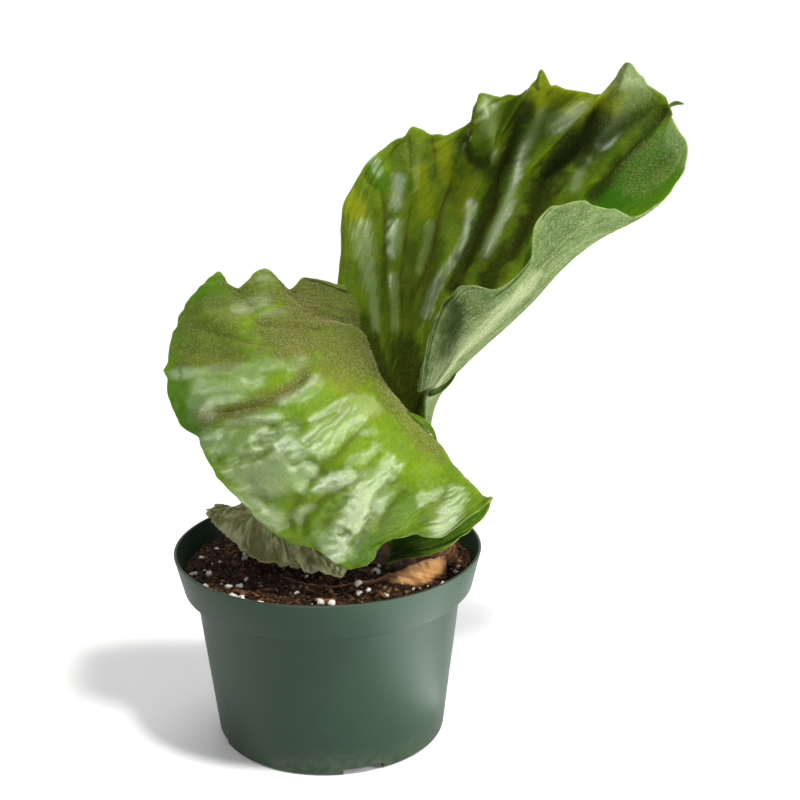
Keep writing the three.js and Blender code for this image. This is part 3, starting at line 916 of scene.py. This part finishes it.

# %% Front frond: where it is downy and waxy, and where highlight, sunlight, shade and a deeper green are painted
# Each stroke is an amount, a width in mm and a path in pixels.
FRONT_PAINTS = {
    "down": [
        (1.0, 24, [(308, 305)]), (0.9, 20, [(290, 335)]), (0.8, 24, [(345, 350)]),
        (0.6, 20, [(212, 325)]), (0.7, 9, [(186, 352), (205, 355), (230, 356)]),
        (0.7, 16, [(353, 322)]), (0.6, 11, [(372, 368), (390, 392), (408, 418), (430, 444)]),
        (0.9, 5, [(205, 419), (235, 410), (262, 400), (290, 386), (304, 374)]),
        (0.6, 16, [(250, 292)]),
    ],
    "sheen": [
        (1.0, 6.5, [(202, 388), (226, 388), (250, 380)]),
        (0.9, 3.4, [(172, 374), (205, 373), (240, 371), (281, 365)]),
        (0.8, 6.8, [(203, 396), (206, 408)]), (0.8, 5.4, [(212, 398), (238, 390)]),
        (1.0, 4.1, [(284, 399), (300, 391), (316, 378)]), (0.8, 3.4, [(290, 367), (301, 360)]),
        (0.8, 4.1, [(230, 425), (250, 420), (274, 417)]),
        (0.9, 2.2, [(312, 417), (330, 408), (352, 396)]),
        (1.0, 7.4, [(316, 443), (335, 431), (352, 418), (370, 406)]),
        (0.9, 6.8, [(207, 443), (230, 439), (262, 441), (290, 437)]),
        (0.8, 6.8, [(236, 472), (268, 467), (297, 462)]),
        (0.8, 6.8, [(246, 490), (280, 483), (302, 475)]),
        (1.0, 4.3, [(320, 488), (338, 483), (354, 477)]),
        (0.8, 3.2, [(350, 461), (365, 455), (379, 447)]),
        (1.0, 6.1, [(358, 484), (375, 477), (392, 465)]), (0.9, 6.1, [(372, 501), (383, 487)]),
        (0.9, 5.4, [(240, 500), (258, 511), (274, 521)]), (0.9, 3.2, [(296, 518), (308, 510)]),
        (1.0, 8.4, [(338, 549), (346, 534), (358, 516), (371, 500)]),
        (0.9, 6.1, [(441, 528), (450, 512), (458, 497)]), (0.6, 4.1, [(423, 499), (440, 495)]),
        (0.8, 4.5, [(240, 308), (251, 304), (262, 301)]), (0.6, 3.2, [(264, 314), (286, 311)]),
        (0.7, 3.2, [(262, 279), (273, 279)]), (0.8, 2.4, [(366, 433), (374, 431)]),
    ],
    "sun": [(0.5, 9, [(330, 372), (352, 390), (372, 412)]), (0.4, 8, [(300, 352)])],
    "shade": [(1.0, 7, [(398, 552), (408, 558)])],
    "backlit_and_shaded_green": [
        (1.0, 17, [(166, 390), (172, 412), (188, 432)]), (0.8, 9, [(222, 284), (242, 296)]),
        (0.9, 10, [(200, 285), (214, 298)]), (1.0, 13, [(190, 298), (176, 328), (170, 350)]),
        (0.8, 6, [(372, 545), (360, 562)]), (0.5, 8, [(392, 515), (410, 505)]),
    ],
}

# %% Front frond: small pulls and colours
# Each pull is a pixel, a radius in mm and a move in mm.
FRONT_PULLS = [
    (166, 369, 3, (-1.8, 0, 0.4)), (171, 378, 3, (1.2, 0, 0)), (218, 274, 3, (0, 0, 1.6)),
    (240, 288, 3, (0, 0, -1.6)), (269, 274, 4, (0, 0, 0.2)), (291, 290, 3, (0, 0, -1.6)),
    (386, 548, 7, (-4.2, 0, 0.6)),
]
FRONT_LOOK = {
    "seed": 41, "hairs": 5000, "cushion": (17.0, 8.0), "quilt": 0.42, "wrinkle": 0.21, "pleats": 9,
    "pleat": 1.2, "pleat_start": 0.45, "ruffle": 0.9, "scallop": 0.8, "thick": 0.9,
    "foot_thick": 2.0, "folds": FRONT_FOLDS, "paints": FRONT_PAINTS, "pulls": FRONT_PULLS,
}
# Of these colours, sheen is a painted highlight, sun painted sunlight, shade and dark painted
# shade (dark also colours the grit), the deeper green paints shade and light through the leaf, and
# the felt colour is the underside's felt and its painted highlight.
FRONT_HUES = {
    "fresh": (106, 135, 14), "deep": (82, 112, 8), "bright": (124, 148, 36), "sun": (128, 140, 34),
    "backlit_and_shaded_green": (68, 104, 2), "groove": (88, 94, 12), "sheen": (176, 196, 140), "down": (92, 82, 40),
    "hair": (150, 150, 98), "felt_and_sheen": (110, 144, 56), "under": (78, 112, 8),
    "under_pale": (104, 138, 24), "under_deep": (44, 80, 4), "rim": (170, 180, 100),
    "shade": (30, 56, 2), "dark": (40, 52, 2),
}

# %% Front frond: build it
front_leaf = leaf_finish("front_leaf", FRONT_HUES, bare_wax=0.09, wax=0.85, matt=0.38, blur=0.28)
build_frond("front_frond_blade", FRONT_CURVES, FRONT_LOOK, front_leaf, "front_frond",
            rows=240, columns=340)

# %% [markdown]
# ### The back frond
# The taller frond is a funnel that leans to the right. Its back wall shows the glossy
# upper face with long folds; its front wall turns the pale underside to the viewer.

# %% Back frond: its curves
BACK_CURVES = [
    [[37, 8, 99], [43, 17, 99], [51, 15, 99], [53, 7, 99]],
    [[29, 15, 151], [36, 26, 154], [46, 24, 159], [54, 10, 165], [48, -4, 165]],
    [[15, 22, 192], [26, 34, 212], [38, 44, 228], [52, 52, 237], [67, 56, 246], [85, 56, 253],
     [105, 48, 257], [122, 24, 243], [106, 0, 224], [87, -16, 216], [66, -22, 202],
     [51, -10, 178]],
    [[6, 24, 215], [9, 28, 236], [10, 30, 259], [16, 33, 270], [25, 34, 283], [34, 38, 289],
     [46, 34, 296], [55, 43, 293], [63, 47, 293], [74, 49, 298], [79, 42, 310], [91, 48, 311],
     [101, 52, 312], [107, 40, 321], [115, 49, 316], [129, 56, 312], [144, 52, 312],
     [147, 26, 326], [159, 30, 315], [169, 34, 308], [169, 16, 298], [173, 4, 284],
     [159, -6, 266], [146, -12, 259], [130, -24, 265], [115, -30, 268], [103, -34, 266],
     [95, -38, 257], [94, -36, 243], [80, -34, 230], [66, -34, 232], [54, -28, 220],
     [48, -20, 199], [45, -10, 176]],
]

# %% Back frond: its folds
BACK_FOLDS = [
    (-2.0, 2.2, [(388, 300), (388, 277), (390, 262), (388, 240), (386, 205), (376, 188)]),
    (-1.8, 1.8, [(404, 330), (404, 300), (405, 268), (408, 243), (411, 218), (413, 200)]),
    (-2.6, 2.8, [(413, 340), (418, 300), (427, 277), (433, 257), (439, 232), (443, 215),
        (452, 190), (458, 165)]),
    (-4.0, 2.8, [(425, 350), (440, 315), (452, 292), (462, 268), (470, 248), (480, 227),
        (490, 207), (503, 177), (512, 153), (520, 127), (528, 98)]),
    (2.5, 5.2, [(470, 262), (485, 255), (493, 235), (505, 205), (513, 182), (520, 160),
        (532, 138), (537, 105), (540, 78)]),
    (-4.2, 3.6, [(490, 280), (505, 255), (522, 222), (538, 188), (552, 172), (573, 155),
        (587, 138), (599, 112), (608, 96)]),
    (2.7, 5.2, [(578, 172), (588, 155), (600, 135), (610, 115), (619, 92), (628, 68)]),
    (-3.4, 2.8, [(590, 192), (604, 172), (622, 152), (638, 135), (655, 120), (668, 106)]),
    (1.5, 4.6, [(436, 290), (447, 268), (458, 252), (467, 227), (471, 202)]),
    (2.6, 3.4, [(484, 98), (486, 120), (488, 140), (488, 160)]),
    (-2.6, 2.6, [(472, 124), (469, 136), (466, 148), (474, 162), (490, 172)]),
    (-1.4, 1.8, [(364, 172), (370, 182), (380, 192)]),
    (-1.4, 1.8, [(408, 138), (412, 155), (412, 175)]),
    (-1.6, 2.2, [(432, 134), (436, 160), (434, 190)]),
    (-1.5, 2.6, [(640, 200), (648, 180), (660, 165), (675, 152)]),
    (3.0, 5.0, [(452, 300), (453, 318), (446, 340), (436, 360)]),
    (-0.7, 1.2, [(655, 222), (610, 240), (570, 262), (540, 290), (505, 325)]),
    (-0.7, 1.2, [(600, 212), (565, 240), (535, 275), (500, 312), (470, 345)]),
    (-0.6, 1.0, [(570, 212), (550, 235), (532, 262)]),
]

# %% Back frond: its painted patches
# The sheen strokes lay wax and paint a highlight, sun paints sunlight, shade paints shade, and the
# deeper green paints light shining through the leaf from behind and shade.
BACK_PAINTS = {
    "down": [
        (0.6, 14, [(640, 176), (664, 152), (674, 140)]),
        (0.5, 11, [(624, 84), (640, 98), (620, 118)]), (0.25, 9, [(415, 150)]),
    ],
    "sheen": [
        (1.0, 6.5, [(362, 232), (367, 252)]), (1.0, 5.0, [(368, 258), (372, 285)]),
        (1.0, 3.0, [(374, 290), (376, 328)]), (1.0, 4.5, [(398, 228), (396, 250)]),
        (1.0, 2.8, [(396, 276), (396, 330)]), (1.0, 3.2, [(431, 226), (427, 250), (421, 270)]),
        (1.0, 3.4, [(471, 206), (466, 232), (456, 254), (446, 272), (436, 288), (426, 312)]),
        (1.0, 6.0, [(488, 106), (491, 128)]), (0.8, 2.4, [(492, 135), (493, 158)]),
        (1.0, 4.2, [(540, 112), (535, 130), (525, 150), (517, 172), (510, 195), (502, 215),
            (494, 236), (487, 254)]),
        (0.6, 7.0, [(552, 122), (566, 120), (580, 112)]),
        (1.0, 4.6, [(634, 82), (630, 100), (616, 122), (606, 138), (604, 142)]),
        (0.6, 6.0, [(628, 75), (640, 95)]), (0.6, 4.0, [(584, 162), (574, 188)]),
        (0.8, 6.8, [(672, 132), (682, 155)]), (0.7, 3.0, [(373, 158), (380, 173)]),
        (0.7, 4.0, [(398, 180), (398, 205)]), (0.6, 2.4, [(418, 160), (416, 190)]),
        (1.0, 8.0, [(436, 388), (456, 362), (480, 336), (504, 310), (530, 286)]),
    ],
    "sun": [
        (1.0, 9, [(546, 94), (575, 98), (604, 100)]), (0.8, 7, [(348, 198), (358, 212)]),
        (0.7, 5, [(442, 150), (452, 182)]), (0.6, 5, [(470, 186), (463, 212)]),
        (0.6, 5, [(420, 170), (428, 210)]),
    ],
    "shade": [
        (0.9, 6, [(450, 302), (452, 315), (446, 332)]), (0.5, 3, [(431, 318), (424, 350)]),
        (0.3, 4, [(447, 345), (443, 362)]), (1.0, 12, [(404, 350), (410, 385), (414, 402)]),
        (1.0, 8, [(372, 345), (384, 372), (396, 396)]), (0.8, 6, [(364, 322), (369, 345)]),
        (0.9, 4, [(462, 142), (474, 160), (492, 170)]),
        (1.0, 6, [(521, 108), (513, 145), (499, 185), (482, 222), (465, 258), (452, 286)]),
        (1.0, 10, [(565, 142), (549, 175), (534, 204)]),
        (1.0, 8, [(535, 208), (518, 235), (500, 260), (486, 280)]),
        (0.9, 6, [(600, 118), (588, 142), (576, 160)]),
        (1.0, 7, [(664, 112), (640, 138), (616, 165), (596, 190)]),
        (0.35, 8, [(462, 160), (468, 215)]), (0.5, 3, [(385, 250), (386, 300), (388, 345)]),
        (0.6, 4, [(412, 248), (410, 300), (404, 345)]),
        (0.6, 4, [(441, 246), (428, 288), (414, 332)]),
    ],
    "backlit_and_shaded_green": [
        (0.9, 20, [(612, 200), (630, 182), (650, 158)]), (0.6, 16, [(652, 200), (676, 184)]),
        (0.8, 5, [(528, 240), (530, 262), (514, 282)]), (0.6, 5, [(376, 168), (384, 185)]),
    ],
}

# %% Back frond: small pulls and colours
BACK_PULLS = [
    (482, 97, 4, (-1.5, 0, 1.2)), (474, 122, 4, (0.4, 0, -0.6)), (540, 73, 3, (0, 0, 2.0)),
    (524, 88, 3.0, (0, 0, -2.0)), (530, 80, 2.2, (1.6, 0, -2.4)), (611, 78, 4.0, (2.6, 0, -2.4)),
    (604, 88, 4.0, (2.2, 0, -1.8)), (550, 85, 3.5, (0, 0, -1.6)), (415, 130, 3, (0, 0, 1.6)),
    (407, 139, 3, (0, 0, -1.8)), (628, 65, 3, (0, 0, 1.2)), (459, 288, 3, (-0.6, 0, 1.4)),
]
BACK_LOOK = {
    "seed": 61, "hairs": 1000, "cushion": (40.0, 14.0), "quilt": 0.2, "wrinkle": 0.06,
    "pleats": 11, "pleat": 0.35, "pleat_start": 0.2, "ruffle": 0.8, "scallop": 0.8, "thick": 0.9,
    "foot_thick": 3.0, "folds": BACK_FOLDS, "paints": BACK_PAINTS, "pulls": BACK_PULLS,
}
# Of these colours, sheen is a painted highlight, sun painted sunlight, shade and dark painted
# shade (dark also colours the grit), the deeper green paints shade and light through the leaf, and
# the felt colour is the underside's felt and its painted highlight.
BACK_HUES = {
    "fresh": (104, 126, 10), "deep": (78, 98, 4), "bright": (122, 140, 30), "sun": (148, 154, 8),
    "backlit_and_shaded_green": (46, 106, 2), "groove": (70, 44, 10), "sheen": (160, 180, 128),
    "down": (104, 130, 44), "hair": (178, 188, 140), "felt_and_sheen": (172, 182, 136),
    "under": (84, 105, 50), "under_pale": (116, 136, 82), "under_deep": (52, 74, 26),
    "rim": (158, 168, 108), "shade": (44, 62, 14), "dark": (36, 38, 1),
}

# %% Back frond: build it
back_leaf = leaf_finish("back_leaf", BACK_HUES, bare_wax=0.02, wax=0.95, matt=0.36, blur=0.38)
build_frond("back_frond_blade", BACK_CURVES, BACK_LOOK, back_leaf, "back_frond",
            rows=240, columns=420)

# %% [markdown]
# ### Lips
# Three slivers of leaf are too small for the lofts: the tongue that curls out of the tall
# frond's low corner, the green crescent at the fold, and a pale tip behind the right lobe.
# Each is a narrow blade along a stroke, lifted a little towards the eye and cupped.

# %% Curled lips
def held(sheet, path):
    """Points exactly behind some pixels, as far off as the sheet is near them."""
    seen = seen_at(sheet.reshape(-1, 3))
    points = []
    for across_px, down_px in path:
        away = seen[2][seen_first(seen, across_px, down_px)]
        ray = (np.array(ahead) + np.array(right) * (across_px - IMAGE_PIXELS / 2) / FOCAL_PIXELS
               - np.array(up) * (down_px - IMAGE_PIXELS / 2) / FOCAL_PIXELS)
        points.append(np.array(EYE) / MM + ray * away)
    return curve_through(points, np.linspace(0, 1, LINE_STEPS * len(points)))


LIP_THICK, LIP_COLUMNS, LIP_MARGIN = 0.6, 9, 5.0


def lip(name, sheet, path, material, width, lift, shade=0.0):
    """A closed sliver of leaf along a path of pixels, width and lift in mm."""
    line = held(sheet, path)
    place = np.linspace(0, 1, len(line))[:, None, None]
    to_eye = np.array(EYE) / MM - line
    to_eye /= np.linalg.norm(to_eye, axis=1, keepdims=True)
    side = np.cross(to_eye, np.gradient(line, axis=0))
    side /= np.linalg.norm(side, axis=1, keepdims=True)
    across = np.linspace(-1, 1, LIP_COLUMNS)[None, :, None]
    half = width / 2 * (np.sin(np.pi * place) ** 0.7 + 0.04)
    cupped = lift * (0.5 + 0.5 * across ** 2) * np.sin(np.pi * place) ** 0.5
    blade = line[:, None] + side[:, None] * (half * across) + to_eye[:, None] * cupped
    flat = np.zeros(blade.shape[:2])
    fields = {key: flat for key in ("groove", "down", "sheen", "sun", "backlit_and_shaded_green", "streak")}
    fields.update({"shade": flat + shade, "margin": flat + LIP_MARGIN})
    add_leaf(name, blade, flat + LIP_THICK, material, None, fields)


FRONT_SHEET = loft(FRONT_CURVES, rows=160, columns=240)
BACK_SHEET = loft(BACK_CURVES, rows=160, columns=300)
lip("back_frond_tongue", BACK_SHEET, [(420, 398), (430, 394), (440, 389), (449, 381), (456, 373)],
    back_leaf, width=3.0, lift=2.0, shade=0.9)
lip("front_frond_crescent", FRONT_SHEET, [(406, 412), (419, 419), (430, 428), (437, 441)],
    front_leaf, width=2.6, lift=0.5)
lip("back_frond_tip", BACK_SHEET, [(684, 104), (677, 103), (671, 105), (666, 109)],
    back_leaf, width=2.0, lift=0.3)

# %% [markdown]
# ## Old shield fronds
# A staghorn also makes shield fronds, which die and stay as a papery collar. One is grey
# green and leans out at the left; one is dry and brown and lies mostly in the mix. They are
# lofts too, but the relief is a tangle of fibres that run round the plant.

# %% Shield relief
def build_shield(name, curves, look, material, node, rows, columns):
    sheet, seed = loft(curves, rows, columns), look["seed"]
    u, v, s, t = measured(sheet)
    slant = s + 0.35 * t
    # pale patches: painted light on the grey shield, a paler orange on the dry one
    pale_patch = painted(sheet, look["pale_patches"], hills(s / 3, t / 3, seed + 6))
    fibres = 1 - 2 * np.abs(hills(slant / 2.4, t / 11, seed))
    fine = 1 - 2 * np.abs(hills(slant / 1.1 + 7, t / 5, seed + 1))
    fibre = 0.6 * fibres + 0.4 * fine
    x, y, z = np.moveaxis(sheet, 2, 0)
    crumple = (0.5 - 1.5 * np.abs(hills(x / 6 + z / 8, y / 6 - z / 5, seed + 2))
               - 0.8 * np.abs(hills(s / 3.5, t / 3.2, seed + 5)))
    relief = -pleated(look, u, v) + look["fibre"] * fibre + look["crumple"] * crumple
    tear = np.minimum(0, hills(t / 3.1, 0 * u, seed + 3)) + 0.5 * hills(t / 1.3, 0 * u, seed + 4)
    torn = ease(0.7, 1, u) * look["tear"] * tear
    sheet = raised(sheet, relief) + outward(sheet) * torn[..., None]
    margin = s[-1] - s
    thick = look["thick"] * (0.5 + 0.5 * ease(0, 2.5, margin))
    fields = {"fibre": fibre, "pale_patch": pale_patch, "margin": margin}
    add_leaf(name, sheet, thick, material, node, fields)


# %% [markdown]
# The paper of an old shield is a web of veins with the leaf gone from between them. So the
# fibres that make its relief also pick its colour; blotches of rot, a pale patch where
# the picture shows one, and a bleached torn rim lie over it. On the grey shield the pale
# patches, at its tip and its lower end, are painted light; on the dry one the patch is a
# paler orange.

# %% Finish: papery shields
def shield_finish(name, pale, dark, blot, edge, pale_patch):
    """Colours of fibres, gaps, rot, torn rim and pale patch; on the grey shield it is painted
    light.
    """
    finish = Finish(name)
    fibre = finish.field("fibre")
    blotch = finish.noise(9, 5, 0.65)
    grain = finish.noise(0.7, 5, 0.7)
    rim = 1 - finish.step(finish.field("margin"), 0.3, 1.6)
    colour = finish.layers(finish.blend(finish.step(fibre, -0.1, 0.8), dark, pale), [
        # the pale patch: painted light on the grey shield, a paler orange on the dry one
        (finish.step(blotch, 0.44, 0.64) * 0.75, blot), (finish.field("pale_patch") * 0.9, pale_patch),
        (grain * 0.35, dark), (rim * 0.5, edge),
    ])
    return finish.finish(Base_Color=colour, Roughness=0.82, Specular_IOR_Level=0.15,
                         Normal=finish.bump(grain + blotch * 0.6, 0.5))


# %% The grey-green shield
GREY_CURVES = [
    [[12, -20, 92], [4, -4, 91], [10, 14, 91]],
    [[11, -30, 97], [-6, -24, 103], [-16, -8, 106], [-12, 10, 104], [0, 20, 100]],
    [[7, -42, 95], [-8, -41, 99], [-22, -38, 101], [-36, -30, 103], [-45, -20, 106],
     [-56, -6, 111], [-60, 4, 114], [-53, 10, 115], [-48, 16, 111], [-40, 20, 113],
     [-28, 24, 106]],
]
GREY_LOOK = {
    "seed": 81, "pleats": 7, "pleat": 0.1, "pleat_start": 0.2, "fibre": 0.12, "crumple": 1.6,
    "tear": 1.6, "thick": 0.9,
    # painted light: the pale patches at the tip and at the lower end
    "pale_patches": [(0.8, 6, [(200, 540), (214, 552)]), (0.5, 5, [(300, 578), (332, 576)])],
}
grey_paper = shield_finish("grey_shield_paper", (174, 176, 128), (96, 100, 58), (126, 114, 68),
                           (172, 168, 120), (176, 176, 140))
build_shield("grey_shield_frond", GREY_CURVES, GREY_LOOK, grey_paper, "grey_shield",
             rows=110, columns=260)

# %% The dry brown shield
DRY_CURVES = [
    [[-28, -8, 80], [-21, -23, 80], [-8, -33, 80], [10, -34, 80], [24, -30, 80], [35, -32, 81],
     [46, -32, 81], [55, -24, 81]],
    [[-29, -8, 86], [-22, -25, 86], [-9, -36, 86], [10, -36, 86], [24, -32, 86], [35, -35, 88],
     [47, -35, 89], [57, -27, 89]],
    [[-30, -8, 91], [-23, -26, 91.5], [-10, -38, 91], [10, -38, 90.5], [24, -32, 91],
     [35, -32, 95], [47, -31, 99], [57, -24, 98]],
]
DRY_LOOK = {
    "seed": 91, "pleats": 5, "pleat": 0.4, "pleat_start": 0.4, "fibre": 0.3, "crumple": 0.5,
    "tear": 0.6, "thick": 1.0, "pale_patches": [(1.0, 8, [(402, 572), (418, 568), (432, 562)])],
}
dry_paper = shield_finish("dry_shield_paper", (112, 74, 48), (58, 36, 24), (88, 54, 34),
                          (140, 104, 74), (246, 186, 118))
build_shield("dry_shield_frond", DRY_CURVES, DRY_LOOK, dry_paper, "dry_shield",
             rows=60, columns=240)

# %% [markdown]
# ## The rhizome
# The fronds spring from a short creeping stem under a thatch of brown papery scales. It is
# a low mound, thatched with a few hundred pointed scales that overlap like roof tiles.

# %% Rhizome mound and its scales
RHIZOME_CENTRE, RHIZOME_RADII = np.array((39.0, 3.0, 88.0)), np.array((26.0, 20.0, 15.0))
SCALE_OUTLINE = [(-0.35, 0), (0.35, 0), (0.5, 0.4), (0.3, 0.75), (0, 1.15), (-0.3, 0.75),
                 (-0.5, 0.4)]
SCALES, CORNERS, SCALE_THICK = 420, len(SCALE_OUTLINE), 0.25
SCALE_SIZES, SCALE_CURLS = (3.0, 5.5), (0.15, 0.5)
MOUND_INSET, SCALE_INSET = 0.8, 0.6     # how far they stay inside the plain solid


def mound():
    points, faces = ball(5)
    x, y, z = (points * RHIZOME_RADII).T
    lumps = 1 + 0.04 * hills(x / 4, y / 4, 51) + 0.03 * hills(x / 1.6, z / 1.6 + y / 1.6, 52)
    radii = RHIZOME_RADII - MOUND_INSET
    return points * lumps[:, None] * radii + RHIZOME_CENTRE, faces


def scales():
    """Small pointed blades that lie on the mound and point up and outwards."""
    random = np.random.RandomState(53)
    points, faces, tint = [], [], []
    for start in range(0, SCALES * 2 * CORNERS, 2 * CORNERS):
        turn = random.uniform(0, 2 * np.pi)
        tilt = np.arccos(random.uniform(0.0, 0.98))
        unit = np.array((np.sin(tilt) * np.cos(turn), np.sin(tilt) * np.sin(turn), np.cos(tilt)))
        spot = RHIZOME_CENTRE + unit * (RHIZOME_RADII - SCALE_INSET)
        normal = unit / RHIZOME_RADII
        normal /= np.linalg.norm(normal)
        uphill = np.array((0, 0, 1.0)) - normal * normal[2]
        uphill /= np.linalg.norm(uphill) + 1e-9
        sideways = np.cross(normal, uphill)
        size = random.uniform(*SCALE_SIZES)
        curl = random.uniform(*SCALE_CURLS)
        blade = [spot + size * (x * sideways + y * uphill + normal * curl * (y * y - 0.3 * x * x))
                 for x, y in SCALE_OUTLINE]
        points.append(np.concatenate([blade, np.array(blade) - normal * SCALE_THICK]))
        under = start + CORNERS
        faces.append(range(start, under))
        faces.append(range(under + CORNERS - 1, under - 1, -1))
        for corner in range(CORNERS):
            after = (corner + 1) % CORNERS
            faces.append((start + corner, under + corner, under + after, start + after))
        tint.append(np.full(2 * CORNERS, random.uniform()))
    return np.concatenate(points), faces, np.concatenate(tint)


# %% [markdown]
# The scales are dry and brown, each a little lighter or darker than the next, with fibres
# that run up them. They stay flat shaded, because a scale is flat and its edges are thin.

# %% Finish: brown scales
def scale_finish():
    finish = Finish("brown_scales")
    fibres = finish.noise(1.2, 5, 0.7, finish.stretched((1, 1, 0.35)))
    colour = finish.blend(finish.field("tint"), (86, 54, 32), (158, 112, 70))
    colour = finish.blend(fibres * 0.6, colour, (70, 44, 28))
    return finish.finish(Base_Color=colour, Roughness=0.85, Normal=finish.bump(fibres, 0.4))


brown = scale_finish()
points, faces = mound()
add_piece("rhizome_mound", points, faces, brown, "rhizome",
          {"tint": 0.4 + 0.3 * hills(points[:, 0] / 3, points[:, 1] / 3, 54)})
points, faces, tint = scales()
add_piece("rhizome_scales", points, faces, brown, fields={"tint": tint},
          smooth=False)

# %% [markdown]
# ## Studio
# The floor and the wall behind it are one white sweep, so there is no horizon. It is only
# as large as the lamps light evenly, and beyond it the camera sees a white backdrop.

# %% The white sweep
def white_sweep():
    """Paper that lies on the floor, bends up with a radius and stands behind the pot."""
    front, back, height, radius, width = -0.85, 1.6, 2.4, 0.6, 2.2
    profile = [(front, 0.0), (back - radius, 0.0)]
    profile += [(back - radius + radius * math.sin(turn), radius - radius * math.cos(turn))
                for turn in np.linspace(0, math.pi / 2, 12)[1:]]
    profile.append((back, height))
    points = [(side * width / 2, y, z) for y, z in profile for side in (-1, 1)]
    faces = [(2 * k, 2 * k + 1, 2 * k + 3, 2 * k + 2) for k in range(len(profile) - 1)]
    finish = Finish("white_paper")
    colour = finish.blend(finish.noise(400, 2), (238, 238, 238), (243, 243, 243))
    paper = finish.finish(Base_Color=colour, Roughness=0.9, Emission_Color=(1, 1, 1, 1),
                          Emission_Strength=0.05)
    return new_object("white_sweep", points, faces, paper)


sweep = white_sweep()

# %% [markdown]
# Shading tells the shape of a leaf, and what its wax mirrors tells how smooth it is. The
# two want different lamps, so each lamp says whether it lights surfaces, is mirrored in
# them, or both. A small high key throws the shadow to the left and a low one brightens the
# pot's right side. The windows and cards are there only for the gloss.

# %% Lamps
def soft_lamp(name, place, aim, size, watts, colour=(1, 1, 1), lights=True, mirrored=True):
    """An area lamp. size: width and height in metres."""
    light = bpy.data.lights.new(name, "AREA")
    light.shape, (light.size, light.size_y) = "RECTANGLE", size
    light.energy, light.color = watts, colour
    lamp = bpy.data.objects.new(name, light)
    lamp.location = place
    lamp.visible_camera, lamp.visible_diffuse, lamp.visible_glossy = False, lights, mirrored
    lamp.rotation_euler = (Vector(aim) - Vector(place)).to_track_quat("-Z", "Y").to_euler()
    scene.collection.objects.link(lamp)


WARM, COOL = (1.0, 0.99, 0.96), (0.97, 0.99, 1.0)
soft_lamp("key", (0.44, -0.50, 1.54), (0, 0, 0.1), (0.2, 0.2), 26, WARM, mirrored=False)
soft_lamp("front_window", (0.0, -1.15, 0.46), (0, 0, 0.2), (1.3, 0.92), 18, lights=False)
soft_lamp("low_window", (0.95, -0.72, 0.20), (0, 0, 0.15), (0.9, 0.5), 9, lights=False)
soft_lamp("floor_card", (0.32, -0.24, 0.01), (0.32, -0.23, 1.0), (0.50, 0.46), 3.0, lights=False)
soft_lamp("low_card", (-0.05, -0.62, 0.14), (-0.05, 0, 0.14), (0.9, 0.28), 2.8, lights=False)
soft_lamp("top_window", (0.05, -0.25, 1.5), (0, 0, 0.2), (0.7, 0.5), 5.0, lights=False)
soft_lamp("top_softbox", (-0.80, -0.35, 1.10), (0, 0, 0.17), (0.7, 0.6), 3.4, COOL)
soft_lamp("left_fill", (-0.55, -1.05, 0.55), (0, 0, 0.2), (1.1, 0.8), 1.2, mirrored=False)
soft_lamp("right_panel", (1.00, -0.25, 0.80), (0, 0, 0.15), (0.6, 0.6), 6.0, lights=False)
soft_lamp("right_key", (1.05, -0.38, 0.32), (0, 0, 0.10), (0.5, 0.5), 14.5, mirrored=False)
soft_lamp("sweep_light", (0.0, 0.80, 2.2), (0.0, 1.6, 0.7), (1.2, 1.2), 22)
print("lamps:", len(bpy.data.lights))

# %% [markdown]
# The world is a weak light from all around. Only where the camera looks past the sweep, a
# Light Path node swaps it for white, so the picture stays pale from every side.

# %% The air round the studio
AIR_LIGHT = 0.08


def studio_air():
    world = bpy.data.worlds.new("studio")
    world.use_nodes = True
    nodes, links = world.node_tree.nodes, world.node_tree.links
    air = nodes["Background"]
    air.inputs["Color"].default_value = (1, 1, 1, 1)
    air.inputs["Strength"].default_value = AIR_LIGHT
    backdrop = nodes.new("ShaderNodeBackground")
    backdrop.inputs["Color"].default_value = (1, 1, 1, 1)
    chooser = nodes.new("ShaderNodeMixShader")
    ray = nodes.new("ShaderNodeLightPath")
    links.new(ray.outputs["Is Camera Ray"], chooser.inputs[0])
    links.new(air.outputs[0], chooser.inputs[1])
    links.new(backdrop.outputs[0], chooser.inputs[2])
    links.new(chooser.outputs[0], nodes["World Output"].inputs["Surface"])
    scene.world = world


studio_air()
scene.view_settings.view_transform = "Standard"
